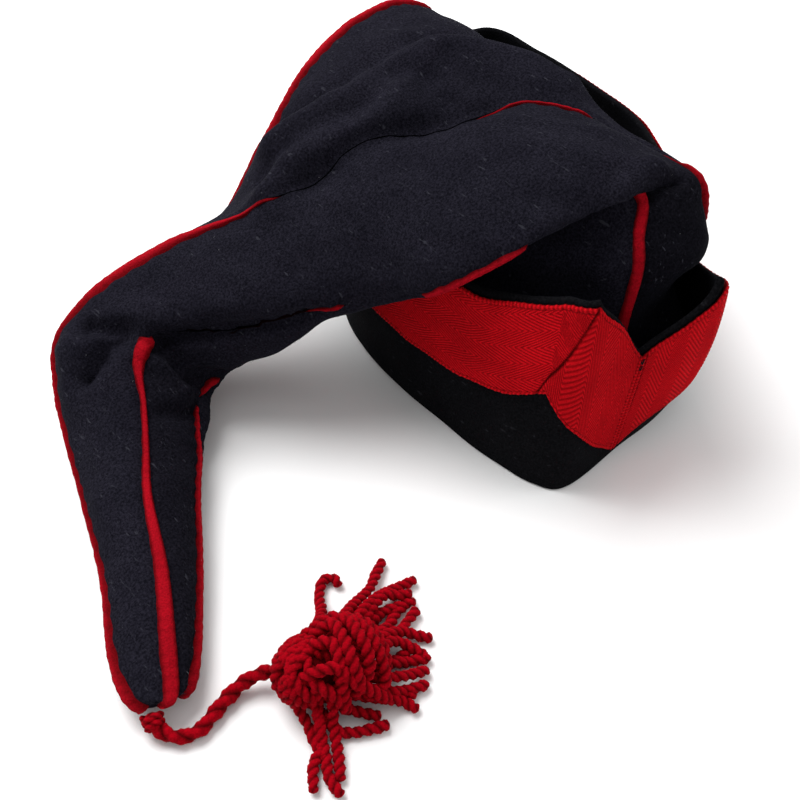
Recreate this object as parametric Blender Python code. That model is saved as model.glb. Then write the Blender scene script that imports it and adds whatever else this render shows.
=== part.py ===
"""A stocking forage cap at rest on a table, in metres, front towards -Y, wearer's left towards +X.

A turned-up band of dark cloth carries a wide red tape along its top edge. The long tapering crown,
sewn from four gores with red piping in every seam, rises inside the band, folds over towards the
wearer's right and lies with its tail on the table. A twisted cord with a tassel ends it.
"""

import math

import bmesh
import bpy
import numpy as np

# Band
HALF_WIDTH = 0.084
HALF_LENGTH = 0.111
WALL = 0.003
CLOTH_UNDER_TAPE = 0.040
TAPE_WIDTH = 0.045
TAPE_THICKNESS = 0.0012
PEAK_FULLNESS = 0.0038
GAP = 0.0004

# Crown
REACH = 0.175
RISE = 0.037
CLOTH = 0.0015
HEM_HEIGHT = 0.003
LEAN = 0.008
PIPING_WIDTH = 0.0048
PIPING_PROUD = 0.0009
PIPING_DEPTH = 0.0009
FOLD_HEIGHT = 0.006
FOLD_WIDTH = 0.014

# Cord and tassel
CORD_DIAMETER = 0.0055
HEAD_RADIUS = 0.0145
HEAD_HEIGHT = 0.025
LOCK_REACH = 0.050
LOCK_DIAMETER = 0.0085
TABLE_CLEARANCE = 0.0004

BAND_HEIGHT = CLOTH_UNDER_TAPE + TAPE_WIDTH

# The origin is under the middle of the whole cap, and the band's middle lies this far from it.
BAND_MIDDLE = (0.504 * REACH, 0.009 * HALF_LENGTH)

# Band, one row for each station round it, from the front seam past the wearer's right.
# Places are shares of HALF_WIDTH and HALF_LENGTH, the last two of CLOTH_UNDER_TAPE and TAPE_WIDTH.
# rim side, rim fore, waist side, waist fore, top side, top fore, cloth under tape, tape
BAND = (
    (-0.56, -0.85, -0.53, -0.86, -0.51, -0.87, 0.18, 1.18),
    (-0.87, -0.84, -0.84, -0.82, -0.80, -0.80, 0.80, 1.39),
    (-0.97, -0.74, -0.94, -0.72, -0.86, -0.70, 1.26, 0.93),
    (-1.00, -0.60, -0.98, -0.58, -0.91, -0.57, 1.04, 0.98),
    (-1.00, -0.36, -1.00, -0.37, -0.98, -0.39, 0.89, 1.00),
    (-0.98, -0.06, -1.00, -0.09, -1.00, -0.12, 0.87, 1.03),
    (-0.92, 0.22, -0.95, 0.21, -0.96, 0.20, 0.92, 1.02),
    (-0.75, 0.50, -0.79, 0.50, -0.81, 0.49, 0.94, 1.02),
    (-0.38, 0.79, -0.40, 0.79, -0.42, 0.78, 0.95, 1.00),
    (0.23, 0.95, 0.23, 0.95, 0.23, 0.95, 0.92, 1.00),
    (0.82, 0.92, 0.85, 0.91, 0.88, 0.90, 0.95, 1.00),
    (0.99, 0.62, 1.00, 0.61, 0.95, 0.60, 0.92, 1.00),
    (1.00, 0.26, 0.97, 0.27, 0.89, 0.27, 0.92, 1.00),
    (0.90, -0.09, 0.86, -0.07, 0.79, -0.05, 0.92, 1.00),
    (0.64, -0.43, 0.61, -0.38, 0.56, -0.32, 0.93, 1.00),
    (0.34, -0.70, 0.22, -0.72, 0.10, -0.73, 0.80, 0.91),
    (0.05, -0.83, -0.10, -0.95, -0.20, -0.98, 0.68, 1.42),
)
BACK_SEAM = 9

# Crown inside the band: heights as shares of the band's, and where each seam stands round it.
# Going up, it leans in from the wall by LEAN for each share of the height.
BASE_LEVELS = (0.0, 0.28, 0.55)
# top, front, under and back seam, as stations of BAND
BASE_SEAMS = (14.6, 17.0, 6.1, 9.4)

# Crown above and outside the band, one row for each section towards the tip.
# Side: 1 is the band's left wall, -1 its right wall, -2 is REACH past that. Fore: HALF_LENGTH.
# Level: 1 is BAND_HEIGHT, 2 is RISE above it.
# Each seam's (side, fore, level): top, front, under, back
SECTIONS = (
    ((0.20, -0.52, 0.85), (-0.47, -0.78, 0.74), (-0.87, 0.23, 0.83), (0.50, 0.91, 0.82)),
    ((0.13, -0.67, 1.08), (-0.45, -0.77, 1.14), (-0.87, 0.23, 0.99), (0.46, 0.95, 1.11)),
    ((0.06, -0.74, 1.47), (-0.39, -0.72, 1.46), (-0.88, 0.23, 1.08), (0.42, 0.97, 1.36)),
    ((0.02, -0.71, 1.78), (-0.31, -0.66, 1.76), (-0.89, 0.23, 1.18), (0.33, 0.97, 1.66)),
    ((0.00, -0.48, 1.83), (-0.57, -0.61, 1.67), (-0.93, 0.23, 1.20), (0.20, 0.96, 1.82)),
    ((-0.06, -0.26, 1.92), (-0.84, -0.55, 1.51), (-0.99, 0.24, 1.22), (0.03, 0.97, 1.86)),
    ((-0.26, -0.01, 1.93), (-1.02, -0.46, 1.17), (-1.02, 0.29, 1.15), (-0.26, 0.96, 1.74)),
    ((-0.61, 0.12, 1.81), (-1.08, -0.34, 0.93), (-1.04, 0.34, 0.96), (-0.55, 0.93, 1.45)),
    ((-0.86, 0.26, 1.60), (-1.11, -0.15, 0.79), (-1.10, 0.40, 0.57), (-0.78, 0.86, 1.17)),
    ((-1.05, 0.35, 1.27), (-1.18, -0.02, 0.73), (-1.19, 0.40, 0.42), (-1.01, 0.80, 0.90)),
    ((-1.18, 0.50, 0.94), (-1.29, 0.11, 0.66), (-1.27, 0.38, 0.25), (-1.13, 0.77, 0.63)),
    ((-1.335, 0.69, 0.77), (-1.39, 0.31, 0.56), (-1.34, 0.35, 0.16), (-1.29, 0.77, 0.34)),
    ((-1.50, 0.79, 0.61), (-1.49, 0.45, 0.53), (-1.40, 0.32, 0.14), (-1.43, 0.67, 0.12)),
    ((-1.63, 0.79, 0.44), (-1.55, 0.42, 0.48), (-1.45, 0.23, 0.13), (-1.55, 0.54, 0.05)),
    ((-1.69, 0.69, 0.31), (-1.60, 0.28, 0.40), (-1.50, 0.16, 0.13), (-1.62, 0.39, 0.02)),
    ((-1.74, 0.53, 0.22), (-1.66, 0.14, 0.34), (-1.54, 0.08, 0.13), (-1.66, 0.25, 0.02)),
    ((-1.82, 0.21, 0.16), (-1.73, -0.02, 0.31), (-1.61, -0.05, 0.13), (-1.73, 0.07, 0.02)),
    ((-1.90, -0.10, 0.14), (-1.81, -0.27, 0.26), (-1.72, -0.28, 0.11), (-1.82, -0.16, 0.02)),
    ((-1.99, -0.36, 0.12), (-1.90, -0.50, 0.20), (-1.83, -0.50, 0.09), (-1.91, -0.41, 0.02)),
    ((-2.02, -0.50, 0.11), (-1.95, -0.62, 0.14), (-1.89, -0.60, 0.09), (-1.94, -0.55, 0.02)),
    ((-2.01, -0.57, 0.08), (-1.97, -0.62, 0.11), (-1.92, -0.62, 0.08), (-1.95, -0.58, 0.03)),
)

# How far each gore bellies out, as a share of its chord, and the piping's share of PIPING_WIDTH.
# front gore, under gore, back gore, top gore, piping
FULLNESS = (
    (0.17, 0.10, 0.14, 0.14, 1.0),
    (0.27, 0.06, 0.16, 0.08, 1.0),
    (0.17, 0.02, 0.15, 0.00, 1.0),
    (0.10, 0.04, 0.11, 0.00, 1.0),
    (0.16, 0.09, 0.12, 0.01, 1.0),
    (0.18, 0.11, 0.13, 0.03, 1.0),
    (0.18, 0.09, 0.12, 0.05, 1.0),
    (0.17, 0.11, 0.12, 0.07, 1.0),
    (0.14, 0.15, 0.12, 0.10, 1.0),
    (0.11, 0.14, 0.12, 0.12, 1.0),
    (0.12, 0.17, 0.13, 0.13, 1.0),
    (0.12, 0.16, 0.14, 0.14, 1.0),
    (0.14, 0.15, 0.15, 0.15, 1.1),
    (0.15, 0.15, 0.14, 0.12, 1.2),
    (0.15, 0.15, 0.12, 0.12, 1.25),
    (0.15, 0.15, 0.12, 0.12, 1.3),
    (0.15, 0.15, 0.12, 0.12, 1.3),
    (0.15, 0.15, 0.12, 0.12, 1.35),
    (0.15, 0.15, 0.12, 0.12, 1.35),
    (0.15, 0.15, 0.12, 0.12, 0.8),
    (0.15, 0.15, 0.12, 0.12, 0.3),
)

# Folds and hollows of the crown, each along a line of (side, fore, level) places on it.
# Share of FOLD_HEIGHT, under zero for a hollow, share of FOLD_WIDTH, line
FOLDS = (
    (1.2, 0.9, ((-1.02, 0.60, 1.26), (-0.88, 0.50, 1.60), (-0.66, 0.47, 1.80),
                (-0.45, 0.44, 1.90), (-0.22, 0.36, 1.95), (-0.04, 0.19, 1.95),
                (0.06, -0.04, 1.82))),
    (1.1, 0.7, ((-1.13, 0.46, 1.01), (-1.04, 0.42, 1.30), (-0.94, 0.34, 1.50),
                (-0.76, 0.28, 1.71), (-0.59, 0.31, 1.86))),
    (-0.7, 0.6, ((-1.05, 0.35, 1.27), (-0.86, 0.26, 1.58), (-0.61, 0.12, 1.79),
                 (-0.35, 0.03, 1.90))),
    (-0.4, 0.4, ((-0.22, -0.70, 1.81), (-0.10, -0.72, 1.80))),
    (-0.7, 0.8, ((-1.51, 0.52, 0.58), (-1.57, 0.52, 0.53), (-1.64, 0.50, 0.46))),
    (0.5, 0.6, ((-1.44, 0.42, 0.44), (-1.45, 0.36, 0.38), (-1.46, 0.31, 0.33))),
)

# Cord, from the crown's tip to the tassel's head: side, fore, level as in the crown's sections.
CORD_ROUTE = (
    (-1.9947, -0.5934, 0.0806),
    (-1.9994, -0.6162, 0.0682),
    (-1.9994, -0.6441, 0.0565),
    (-1.9937, -0.6712, 0.0471),
    (-1.9840, -0.6946, 0.0412),
    (-1.9703, -0.7117, 0.0388),
    (-1.9537, -0.7216, 0.0376),
    (-1.9360, -0.7243, 0.0376),
    (-1.9234, -0.7207, 0.0376),
    (-1.9006, -0.7108, 0.0376),
    (-1.8754, -0.7009, 0.0388),
    (-1.8497, -0.6937, 0.0424),
    (-1.8234, -0.6928, 0.0529),
    (-1.7983, -0.7045, 0.0718),
    (-1.7758, -0.7261, 0.0921),
)
# side and fore of the head's middle
TASSEL_MIDDLE = (-1.7257, -0.8288)

# Locks of the tassel, each out to one bunch of strand ends.
# End's side and fore from the head's middle as shares of LOCK_REACH, share of LOCK_DIAMETER
LOCKS = (
    (0.71, 0.46, 0.70),
    (1.11, 0.41, 0.95),
    (1.12, 0.14, 1.00),
    (1.02, -0.08, 1.00),
    (0.90, -0.32, 1.10),
    (0.68, -0.52, 1.10),
    (0.43, -0.63, 1.00),
    (0.19, -0.58, 0.90),
    (-0.30, -0.72, 0.80),
    (-0.48, -0.66, 0.80),
)

# A lock's thickness from the head to its end, as shares of its own.
LOCK_TAPER = (1.5, 1.6, 1.45, 1.3, 1.1, 0.95, 0.8)

# A lock starts inside the head at this share of its radius, leaves it at a share of its middle's
# height, and bends at shares of the way out and of the way down to the table.
LOCK_START = 0.33
LOCK_LEAVES = 0.8
LOCK_BEND_OUT = 0.45
LOCK_BEND_UP = 0.3

GORES = ("gore_front", "gore_under", "gore_back", "gore_top")
PIPINGS = ("piping_top", "piping_front", "piping_under", "piping_back")
ACROSS_GORES = (10, 9, 7, 13)
ACROSS_PIPING = 3
ALONG_SECTION = 2
ROUND_STATION = 4
TAPE_ROWS = 3
LOOP_STEPS = 32
# Steps round a loop at which the seams stand, the back one a little over towards the top gore.
SEAM_STARTS = (0, LOOP_STEPS, 2 * LOOP_STEPS, 3 * LOOP_STEPS + 2, 4 * LOOP_STEPS)
ROUNDING_PASSES = 12
FOLD_STEPS = 40
CORD_FINE_STEPS = 200
CORD_STEP = 1.5 * CORD_DIAMETER
TUBE_BEVEL_STEPS = 2
HEAD_SEGMENTS = (18, 10)
STATION_STEP = 0.02
SHARP_ANGLE = math.radians(50)
WELD = 1e-6


def clear_scene():
    for old in list(bpy.data.objects):
        bpy.data.objects.remove(old, do_unlink=True)


def new_collection(name):
    made = bpy.data.collections.new(name)
    bpy.context.scene.collection.children.link(made)
    return made


def new_material(name, colour, roughness):
    made = bpy.data.materials.new(name)
    made.use_nodes = True
    shader = made.node_tree.nodes["Principled BSDF"]
    shader.inputs["Base Color"].default_value = (*colour, 1.0)
    shader.inputs["Roughness"].default_value = roughness
    shader.inputs["Metallic"].default_value = 0.0
    made.diffuse_color = (*colour, 1.0)
    return made


def new_object(name, mesh, material, collection):
    mesh.materials.clear()
    mesh.materials.append(material)
    made = bpy.data.objects.new(name, mesh)
    collection.objects.link(made)
    return made


def spline_at(rows, where, closed):
    """The Catmull-Rom curve through the rows, at each place counted in rows."""
    rows = np.asarray(rows, float)
    count = len(rows)
    where = np.atleast_1d(np.asarray(where, float))
    first = np.floor(where).astype(int)
    if not closed:
        first = np.clip(first, 0, count - 2)
    t = (where - first).reshape((-1,) + (1,) * (rows.ndim - 1))

    def row(index):
        if closed:
            return rows[index % count]
        past = np.clip(index, 0, count - 1)
        overshoot = (index - past).reshape(t.shape)
        inner = np.where(overshoot < 0, 1, count - 2)
        return rows[past] + np.abs(overshoot) * (rows[past] - rows[inner.reshape(-1)])

    a, b, c, d = (row(first + shift) for shift in (-1, 0, 1, 2))
    return b + 0.5 * t * (c - a + t * (2 * a - 5 * b + 4 * c - d + t * (3 * (b - c) + d - a)))


def linear_at(values, where):
    """Straight runs between the rows of a closed column, so that peaks and notches stay sharp."""
    values = np.append(values, values[0])
    return np.interp(np.mod(where, len(values) - 1), np.arange(len(values)), values)


def unit(vectors):
    return vectors / np.maximum(np.linalg.norm(vectors, axis=-1, keepdims=True), 1e-9)


def band_heights(where):
    """Height of the tape's lower edge and of the band's top edge at stations round the band."""
    rows = np.array(BAND)
    lower = linear_at(rows[:, 6] * CLOTH_UNDER_TAPE, where)
    peak = PEAK_FULLNESS * np.sin(math.pi * np.clip(np.mod(where, len(BAND)), 0, 1)) ** 2
    return lower, lower + linear_at(rows[:, 7] * TAPE_WIDTH, where) + peak


def band_points(where, share, outset):
    """Points of the band's outer face at a share of its height, moved level outwards."""
    rows = np.array(BAND)[:, :6].reshape(-1, 3, 2) * (HALF_WIDTH, HALF_LENGTH)
    where = np.asarray(where, float)

    def plan(places):
        rim, waist, top = np.moveaxis(spline_at(rows, places, True), 1, 0)
        s = np.asarray(share, float).reshape(-1, 1)
        return rim * (1 - s) * (1 - 2 * s) + waist * 4 * s * (1 - s) + top * s * (2 * s - 1)

    ahead = unit(plan(where + STATION_STEP) - plan(where - STATION_STEP))
    outward = np.stack([-ahead[:, 1], ahead[:, 0]], axis=1)
    places = plan(where) - outward * np.sign(turning(rows)) * outset
    heights = band_heights(where)[1] * np.asarray(share, float)
    return np.column_stack([places + BAND_MIDDLE, heights])


def turning(rows):
    """Positive where the band's stations run anticlockwise."""
    rim = rows[:, 0]
    ahead = np.roll(rim, -1, axis=0)
    return float((rim[:, 0] * ahead[:, 1] - rim[:, 1] * ahead[:, 0]).sum())


def place(side, fore, level):
    """A point of the crown from its shares."""
    outside = min(side + 1, 0.0)
    x = (side - outside) * HALF_WIDTH + outside * REACH
    z = min(level, 1.0) * BAND_HEIGHT + max(level - 1, 0.0) * RISE
    return np.array([x + BAND_MIDDLE[0], fore * HALF_LENGTH + BAND_MIDDLE[1], z])


def base_loop(share):
    """The crown's loop inside the band's wall, as four runs from seam to seam."""
    runs = []
    for index, start in enumerate(BASE_SEAMS):
        end = BASE_SEAMS[(index + 1) % 4]
        if end < start:
            end += len(BAND)
        where = np.linspace(start, end, LOOP_STEPS, endpoint=False)
        level = np.full(LOOP_STEPS, share + HEM_HEIGHT / BAND_HEIGHT * (1 - share))
        runs.append(band_points(where, level, -WALL - GAP - LEAN * share))
    return np.concatenate(runs)


def crown_loop(seams, towards, fullness):
    """Four arcs from seam to seam, each bellied out by its gore's fullness, rounded at the seams."""
    share = np.arange(LOOP_STEPS)[:, None] / LOOP_STEPS
    arcs = []
    for index in range(4):
        chord = seams[(index + 1) % 4] - seams[index]
        belly = unit(np.cross(towards, chord)) * np.linalg.norm(chord) * fullness[index]
        arcs.append(seams[index] + chord * share + belly * 4 * share * (1 - share))
    loop = np.concatenate(arcs)
    for _ in range(ROUNDING_PASSES):
        loop = (np.roll(loop, 1, axis=0) + 2 * loop + np.roll(loop, -1, axis=0)) / 4
    return loop


def crown_loops():
    """All loops of the crown from its hem to its tip, and the piping's share at each."""
    seams = np.array([[place(*seam) for seam in row] for row in SECTIONS])
    middles = seams.mean(axis=1)
    towards = unit(np.gradient(middles, axis=0))
    loops = [base_loop(share) for share in BASE_LEVELS]
    for row, heading, belly in zip(seams, towards, FULLNESS):
        loops.append(crown_loop(row, heading, belly[:4]))
    shares = [FULLNESS[0][4]] * len(BASE_LEVELS) + [belly[4] for belly in FULLNESS]
    steps = np.arange((len(loops) - 1) * ALONG_SECTION + 1) / ALONG_SECTION
    return spline_at(loops, steps, False), np.interp(steps, np.arange(len(loops)), shares)


def along_run(run, lengths):
    """Points of a polyline at these lengths along it."""
    steps = np.linalg.norm(np.diff(run, axis=0), axis=1)
    reached = np.concatenate([[0.0], np.cumsum(steps)])
    return np.stack([np.interp(lengths, reached, run[:, axis]) for axis in range(3)], axis=1)


def run_length(run):
    return float(np.linalg.norm(np.diff(run, axis=0), axis=1).sum())


def crown_grid():
    """Points of the crown's outer face: rows from hem to tip, columns round it from the top seam.

    Each quarter of the columns holds half a piping, a gore, and half of the next piping."""
    loops, shares = crown_loops()
    rows = []
    for loop, share in zip(loops, shares):
        half = PIPING_WIDTH * share / 2
        columns = []
        for index in range(4):
            run = loop[np.arange(SEAM_STARTS[index], SEAM_STARTS[index + 1] + 1) % len(loop)]
            total = run_length(run)
            near = np.linspace(0, half, ACROSS_PIPING // 2 + 1)
            gore = np.linspace(half + GAP, total - half - GAP, ACROSS_GORES[index])
            lengths = np.concatenate([near, gore, total - near[:0:-1]])
            columns.append(along_run(run, lengths))
        rows.append(np.concatenate(columns))
    return np.array(rows)


def folded(grid):
    """The grid with each fold raised along its normals, fading away from the fold's line."""
    lift = np.zeros(grid.shape[:2])
    for height, width, places in FOLDS:
        steps = np.linspace(0, len(places) - 1, FOLD_STEPS)
        line = spline_at([place(*point) for point in places], steps, False)
        away = np.linalg.norm(grid[:, :, None] - line, axis=3).min(axis=2)
        lift += height * FOLD_HEIGHT * np.exp(-((away / (width * FOLD_WIDTH)) ** 2))
    return grid + grid_normals(grid) * lift[:, :, None]


def grid_normals(grid):
    along = np.gradient(grid, axis=0)
    across = np.roll(grid, -1, axis=1) - np.roll(grid, 1, axis=1)
    normals = unit(np.cross(along, across))
    outward = grid - grid.mean(axis=1, keepdims=True)
    return normals if (normals * outward).sum() > 0 else -normals


def sheet_mesh(name, outer, inner, closed):
    """A cloth solid between two like grids of points, open ended or closed round its columns."""
    rows, columns = outer.shape[:2]
    shape = bmesh.new()
    faces_of = []
    for grid in (outer, inner):
        faces_of.append([[shape.verts.new(point) for point in row] for row in grid])
    front, back = faces_of
    last = columns if closed else columns - 1
    for r in range(rows - 1):
        for c in range(last):
            d = (c + 1) % columns
            shape.faces.new((front[r][c], front[r + 1][c], front[r + 1][d], front[r][d]))
            shape.faces.new((back[r][c], back[r][d], back[r + 1][d], back[r + 1][c]))
    for r in (0, rows - 1):
        for c in range(last):
            d = (c + 1) % columns
            shape.faces.new((front[r][c], front[r][d], back[r][d], back[r][c]))
    if not closed:
        for c in (0, columns - 1):
            for r in range(rows - 1):
                shape.faces.new((front[r][c], front[r + 1][c], back[r + 1][c], back[r][c]))
    bmesh.ops.recalc_face_normals(shape, faces=shape.faces)
    mesh = bpy.data.meshes.new(name)
    shape.to_mesh(mesh)
    shape.free()
    mesh.shade_smooth()
    mesh.set_sharp_from_angle(angle=SHARP_ANGLE)
    return mesh


def tape_levels(where):
    """Shares of the band's height for the rows of points across the tape, lower edge first."""
    lower, top = band_heights(where)
    return [lower / top + (1 - lower / top) * row / TAPE_ROWS for row in range(TAPE_ROWS + 1)]


def make_band(cloth, parts):
    where = np.arange(len(BAND) * ROUND_STATION) / ROUND_STATION
    on_tape = tape_levels(where)
    levels = [on_tape[0] * share for share in (0.0, 0.5)] + on_tape
    outer = np.array([band_points(where, level, 0.0) for level in levels])
    inner = np.array([band_points(where, level, -WALL) for level in levels])
    return new_object("turban", sheet_mesh("turban", outer, inner, True), cloth, parts)


def make_tape(name, start, end, wool, parts):
    """One half of the tape, butted at the front and back seams, its lower edge under the mitres."""
    steps = int(round((end - start) * ROUND_STATION)) + 1
    where = np.linspace(start, end, steps)
    near = band_points(where, np.full(steps, 1.0), 0.0)
    butt = GAP / 2 / np.linalg.norm(np.diff(near, axis=0), axis=1)[[0, -1]] / ROUND_STATION
    where[0] += butt[0]
    where[-1] -= butt[1]
    levels = tape_levels(where)
    back = np.array([band_points(where, level, GAP) for level in levels])
    face = np.array([band_points(where, level, GAP + TAPE_THICKNESS) for level in levels])
    return new_object(name, sheet_mesh(name, face, back, False), wool, parts)


def make_crown(cloth, piping_cloth, parts):
    grid = folded(crown_grid())
    normals = grid_normals(grid)
    half = ACROSS_PIPING // 2
    width = grid.shape[1]
    seams = np.cumsum([0] + [2 * half + 1 + across for across in ACROSS_GORES])
    for seam in seams[:4]:
        for edge in (seam + half, seam - half - 1):
            pair = [edge % width, (edge + 1) % width]
            normals[:, pair] = unit(normals[:, pair].mean(axis=1, keepdims=True))
    dome = PIPING_PROUD * np.cos(np.linspace(-math.pi / 2, math.pi / 2, ACROSS_PIPING))
    out_of_hem = np.minimum(np.arange(len(grid)) / ALONG_SECTION, 1.0)
    for index, across in enumerate(ACROSS_GORES):
        strip = np.arange(seams[index] - half, seams[index] + half + 1) % width
        proud = grid[:, strip] + normals[:, strip] * np.outer(out_of_hem, dome)[:, :, None]
        sunk = grid[:, strip] - normals[:, strip] * PIPING_DEPTH
        mesh = sheet_mesh(PIPINGS[index], proud, sunk, False)
        new_object(PIPINGS[index], mesh, piping_cloth, parts)
        gore = seams[index] + half + 1 + np.arange(across)
        lining = grid[:, gore] - normals[:, gore] * CLOTH
        mesh = sheet_mesh(GORES[index], grid[:, gore], lining, False)
        new_object(GORES[index], mesh, cloth, parts)


def tube_object(name, points, radii, material, parts):
    curve = bpy.data.curves.new(name, "CURVE")
    curve.dimensions = "3D"
    curve.bevel_depth = 1.0
    curve.bevel_resolution = TUBE_BEVEL_STEPS
    curve.use_fill_caps = True
    line = curve.splines.new("POLY")
    line.points.add(len(points) - 1)
    for point, place_of, radius in zip(line.points, points, radii):
        point.co = (*place_of, 1.0)
        point.radius = radius
    curve.materials.append(material)
    made = bpy.data.objects.new(name, curve)
    parts.objects.link(made)
    return made


def make_cord(wool, parts):
    route = [place(*point) for point in CORD_ROUTE]
    fine = spline_at(route, np.linspace(0, len(route) - 1, CORD_FINE_STEPS), False)
    count = round(run_length(fine) / CORD_STEP) + 1
    points = along_run(fine, np.linspace(0, run_length(fine), count))
    return tube_object("tassel_cord", points, [CORD_DIAMETER / 2] * count, wool, parts)


def tube_as_mesh(tube):
    """The tube's closed mesh, in place of the curve object."""
    graph = bpy.context.evaluated_depsgraph_get()
    mesh = bpy.data.meshes.new_from_object(tube.evaluated_get(graph))
    shape = bmesh.new()
    shape.from_mesh(mesh)
    bmesh.ops.remove_doubles(shape, verts=shape.verts, dist=WELD)
    bmesh.ops.recalc_face_normals(shape, faces=shape.faces)
    shape.to_mesh(mesh)
    shape.free()
    bpy.data.objects.remove(tube)
    return mesh


def lock_tube(middle, end, thick, wool, cutters):
    """One lock's closed mesh: out of the head, down to the table and along it."""
    radius = LOCK_DIAMETER * thick / 2
    flat = np.array([*end, 0.0]) * LOCK_REACH
    floor = TABLE_CLEARANCE + radius
    inside = middle + unit(flat) * HEAD_RADIUS * LOCK_START
    edge = middle + unit(flat) * HEAD_RADIUS
    edge[2] = middle[2] * LOCK_LEAVES
    tip = middle + flat
    tip[2] = floor
    bend = edge + (tip - edge) * LOCK_BEND_OUT
    bend[2] = floor + (edge[2] - floor) * LOCK_BEND_UP
    line = [inside, edge, bend, tip]
    points = spline_at(line, np.linspace(0, len(line) - 1, len(LOCK_TAPER)), False)
    tube = tube_object("lock", points, radius * np.array(LOCK_TAPER), wool, cutters)
    return tube_as_mesh(tube)


def make_tassel(wool, parts, cutters):
    """A round knotted head with the strand bunches fused to it."""
    middle = place(*TASSEL_MIDDLE, 0.0)
    middle[2] = HEAD_HEIGHT / 2 + TABLE_CLEARANCE
    shape = bmesh.new()
    segments, rings = HEAD_SEGMENTS
    bmesh.ops.create_uvsphere(shape, u_segments=segments, v_segments=rings, radius=HEAD_RADIUS)
    bmesh.ops.scale(shape, vec=(1, 1, HEAD_HEIGHT / (2 * HEAD_RADIUS)), verts=shape.verts)
    mesh = bpy.data.meshes.new("tassel")
    shape.to_mesh(mesh)
    shape.free()
    head = new_object("tassel", mesh, wool, parts)
    head.location = middle
    for number, (side, fore, thick) in enumerate(LOCKS):
        mesh = lock_tube(middle, (side, fore), thick, wool, cutters)
        lock = new_object(f"lock_{number}", mesh, wool, cutters)
        lock.hide_render = True
        lock.display_type = "WIRE"
        union = head.modifiers.new(lock.name, "BOOLEAN")
        union.operation = "UNION"
        union.object = lock
    return head


def main():
    clear_scene()
    parts = new_collection("forage_cap")
    cutters = new_collection("cutters")
    cutters.hide_render = True
    navy = new_material("navy_broadcloth", (0.011, 0.011, 0.020), 0.92)
    dark = new_material("band_broadcloth", (0.006, 0.007, 0.010), 0.94)
    tape = new_material("red_twill_tape", (0.42, 0.008, 0.014), 0.85)
    red = new_material("red_piping_cloth", (0.36, 0.008, 0.014), 0.88)
    yarn = new_material("red_wool_yarn", (0.44, 0.004, 0.016), 0.90)
    make_band(dark, parts)
    make_tape("tape_right", 0, BACK_SEAM, tape, parts)
    make_tape("tape_left", BACK_SEAM, len(BAND), tape, parts)
    make_crown(navy, red, parts)
    make_cord(yarn, parts)
    make_tassel(yarn, parts, cutters)


main()
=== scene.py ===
# %% [markdown]
# # Dressing a stocking forage cap
#
# The cap is an old kind of soldier's undress cap. A stiff band of dark wool is turned up round the
# head and carries a wide red tape. A long crown of four wool gores, with red piping in every seam,
# falls over to one side and ends in a cord with a tassel.
#
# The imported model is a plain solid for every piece, all in one frame in metres. This lesson loads it,
# and then makes each piece again as cloth, tape, thread and yarn, in the place that its solid holds.

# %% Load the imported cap
import math

import bpy
import numpy as np
from mathutils import Matrix, Vector


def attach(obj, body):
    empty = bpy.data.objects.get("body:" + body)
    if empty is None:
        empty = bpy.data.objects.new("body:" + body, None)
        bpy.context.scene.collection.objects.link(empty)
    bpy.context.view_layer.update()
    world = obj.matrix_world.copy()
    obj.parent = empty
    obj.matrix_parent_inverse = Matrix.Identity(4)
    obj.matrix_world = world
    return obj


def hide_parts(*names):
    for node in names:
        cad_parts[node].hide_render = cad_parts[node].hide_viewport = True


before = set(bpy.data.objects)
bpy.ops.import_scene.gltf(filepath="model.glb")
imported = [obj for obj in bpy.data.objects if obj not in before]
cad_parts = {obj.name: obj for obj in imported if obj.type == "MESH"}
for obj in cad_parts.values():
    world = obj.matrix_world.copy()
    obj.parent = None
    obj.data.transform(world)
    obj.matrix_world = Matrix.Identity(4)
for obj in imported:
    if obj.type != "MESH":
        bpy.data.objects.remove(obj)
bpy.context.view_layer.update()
print("pieces in the packed cap:", sorted(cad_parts))

# %% [markdown]
# ## The camera
#
# The cap is photographed from above its front right corner, looking down at 45 degrees. A camera can
# be turned with three angles, but they are hard to read back. Here it is given the direction that it
# looks in and the direction that is to its right, and the third follows from those two.

# %% Set up the camera
EYE = (-0.2481, -0.2493, 0.3460)
LOOKS_ALONG = (0.5090, 0.4908, -0.7071)
TO_ITS_RIGHT = (0.7198, -0.6932, 0.0370)
LENS_MM = 49.5
SENSOR_MM = 36.0


def add_camera():
    camera = bpy.data.objects.new("camera", bpy.data.cameras.new("camera"))
    bpy.context.scene.collection.objects.link(camera)
    ahead = Vector(LOOKS_ALONG).normalized()
    right = Vector(TO_ITS_RIGHT)
    right = (right - ahead * right.dot(ahead)).normalized()
    turned = Matrix((right, right.cross(ahead), -ahead)).transposed()
    camera.location = EYE
    camera.rotation_mode = "QUATERNION"
    camera.rotation_quaternion = turned.to_quaternion()
    camera.data.lens = LENS_MM
    camera.data.sensor_width = SENSOR_MM
    camera.data.clip_start = 0.01
    bpy.context.scene.camera = camera


add_camera()
print("camera stands", round(EYE[2] * 1000), "mm above the table")

# %% [markdown]
# ## Lines and skins
#
# Nearly every piece of the cap is a row of outlines joined into a skin: loops round the crown, slices
# through the band, rings along a cord. So two helpers come first. One draws a smooth curve through a
# few chosen points, and the other joins rings of points into one closed mesh.

# %% Helpers for smooth lines
def unit(vectors):
    return vectors / np.maximum(np.linalg.norm(vectors, axis=-1, keepdims=True), 1e-9)


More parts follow.
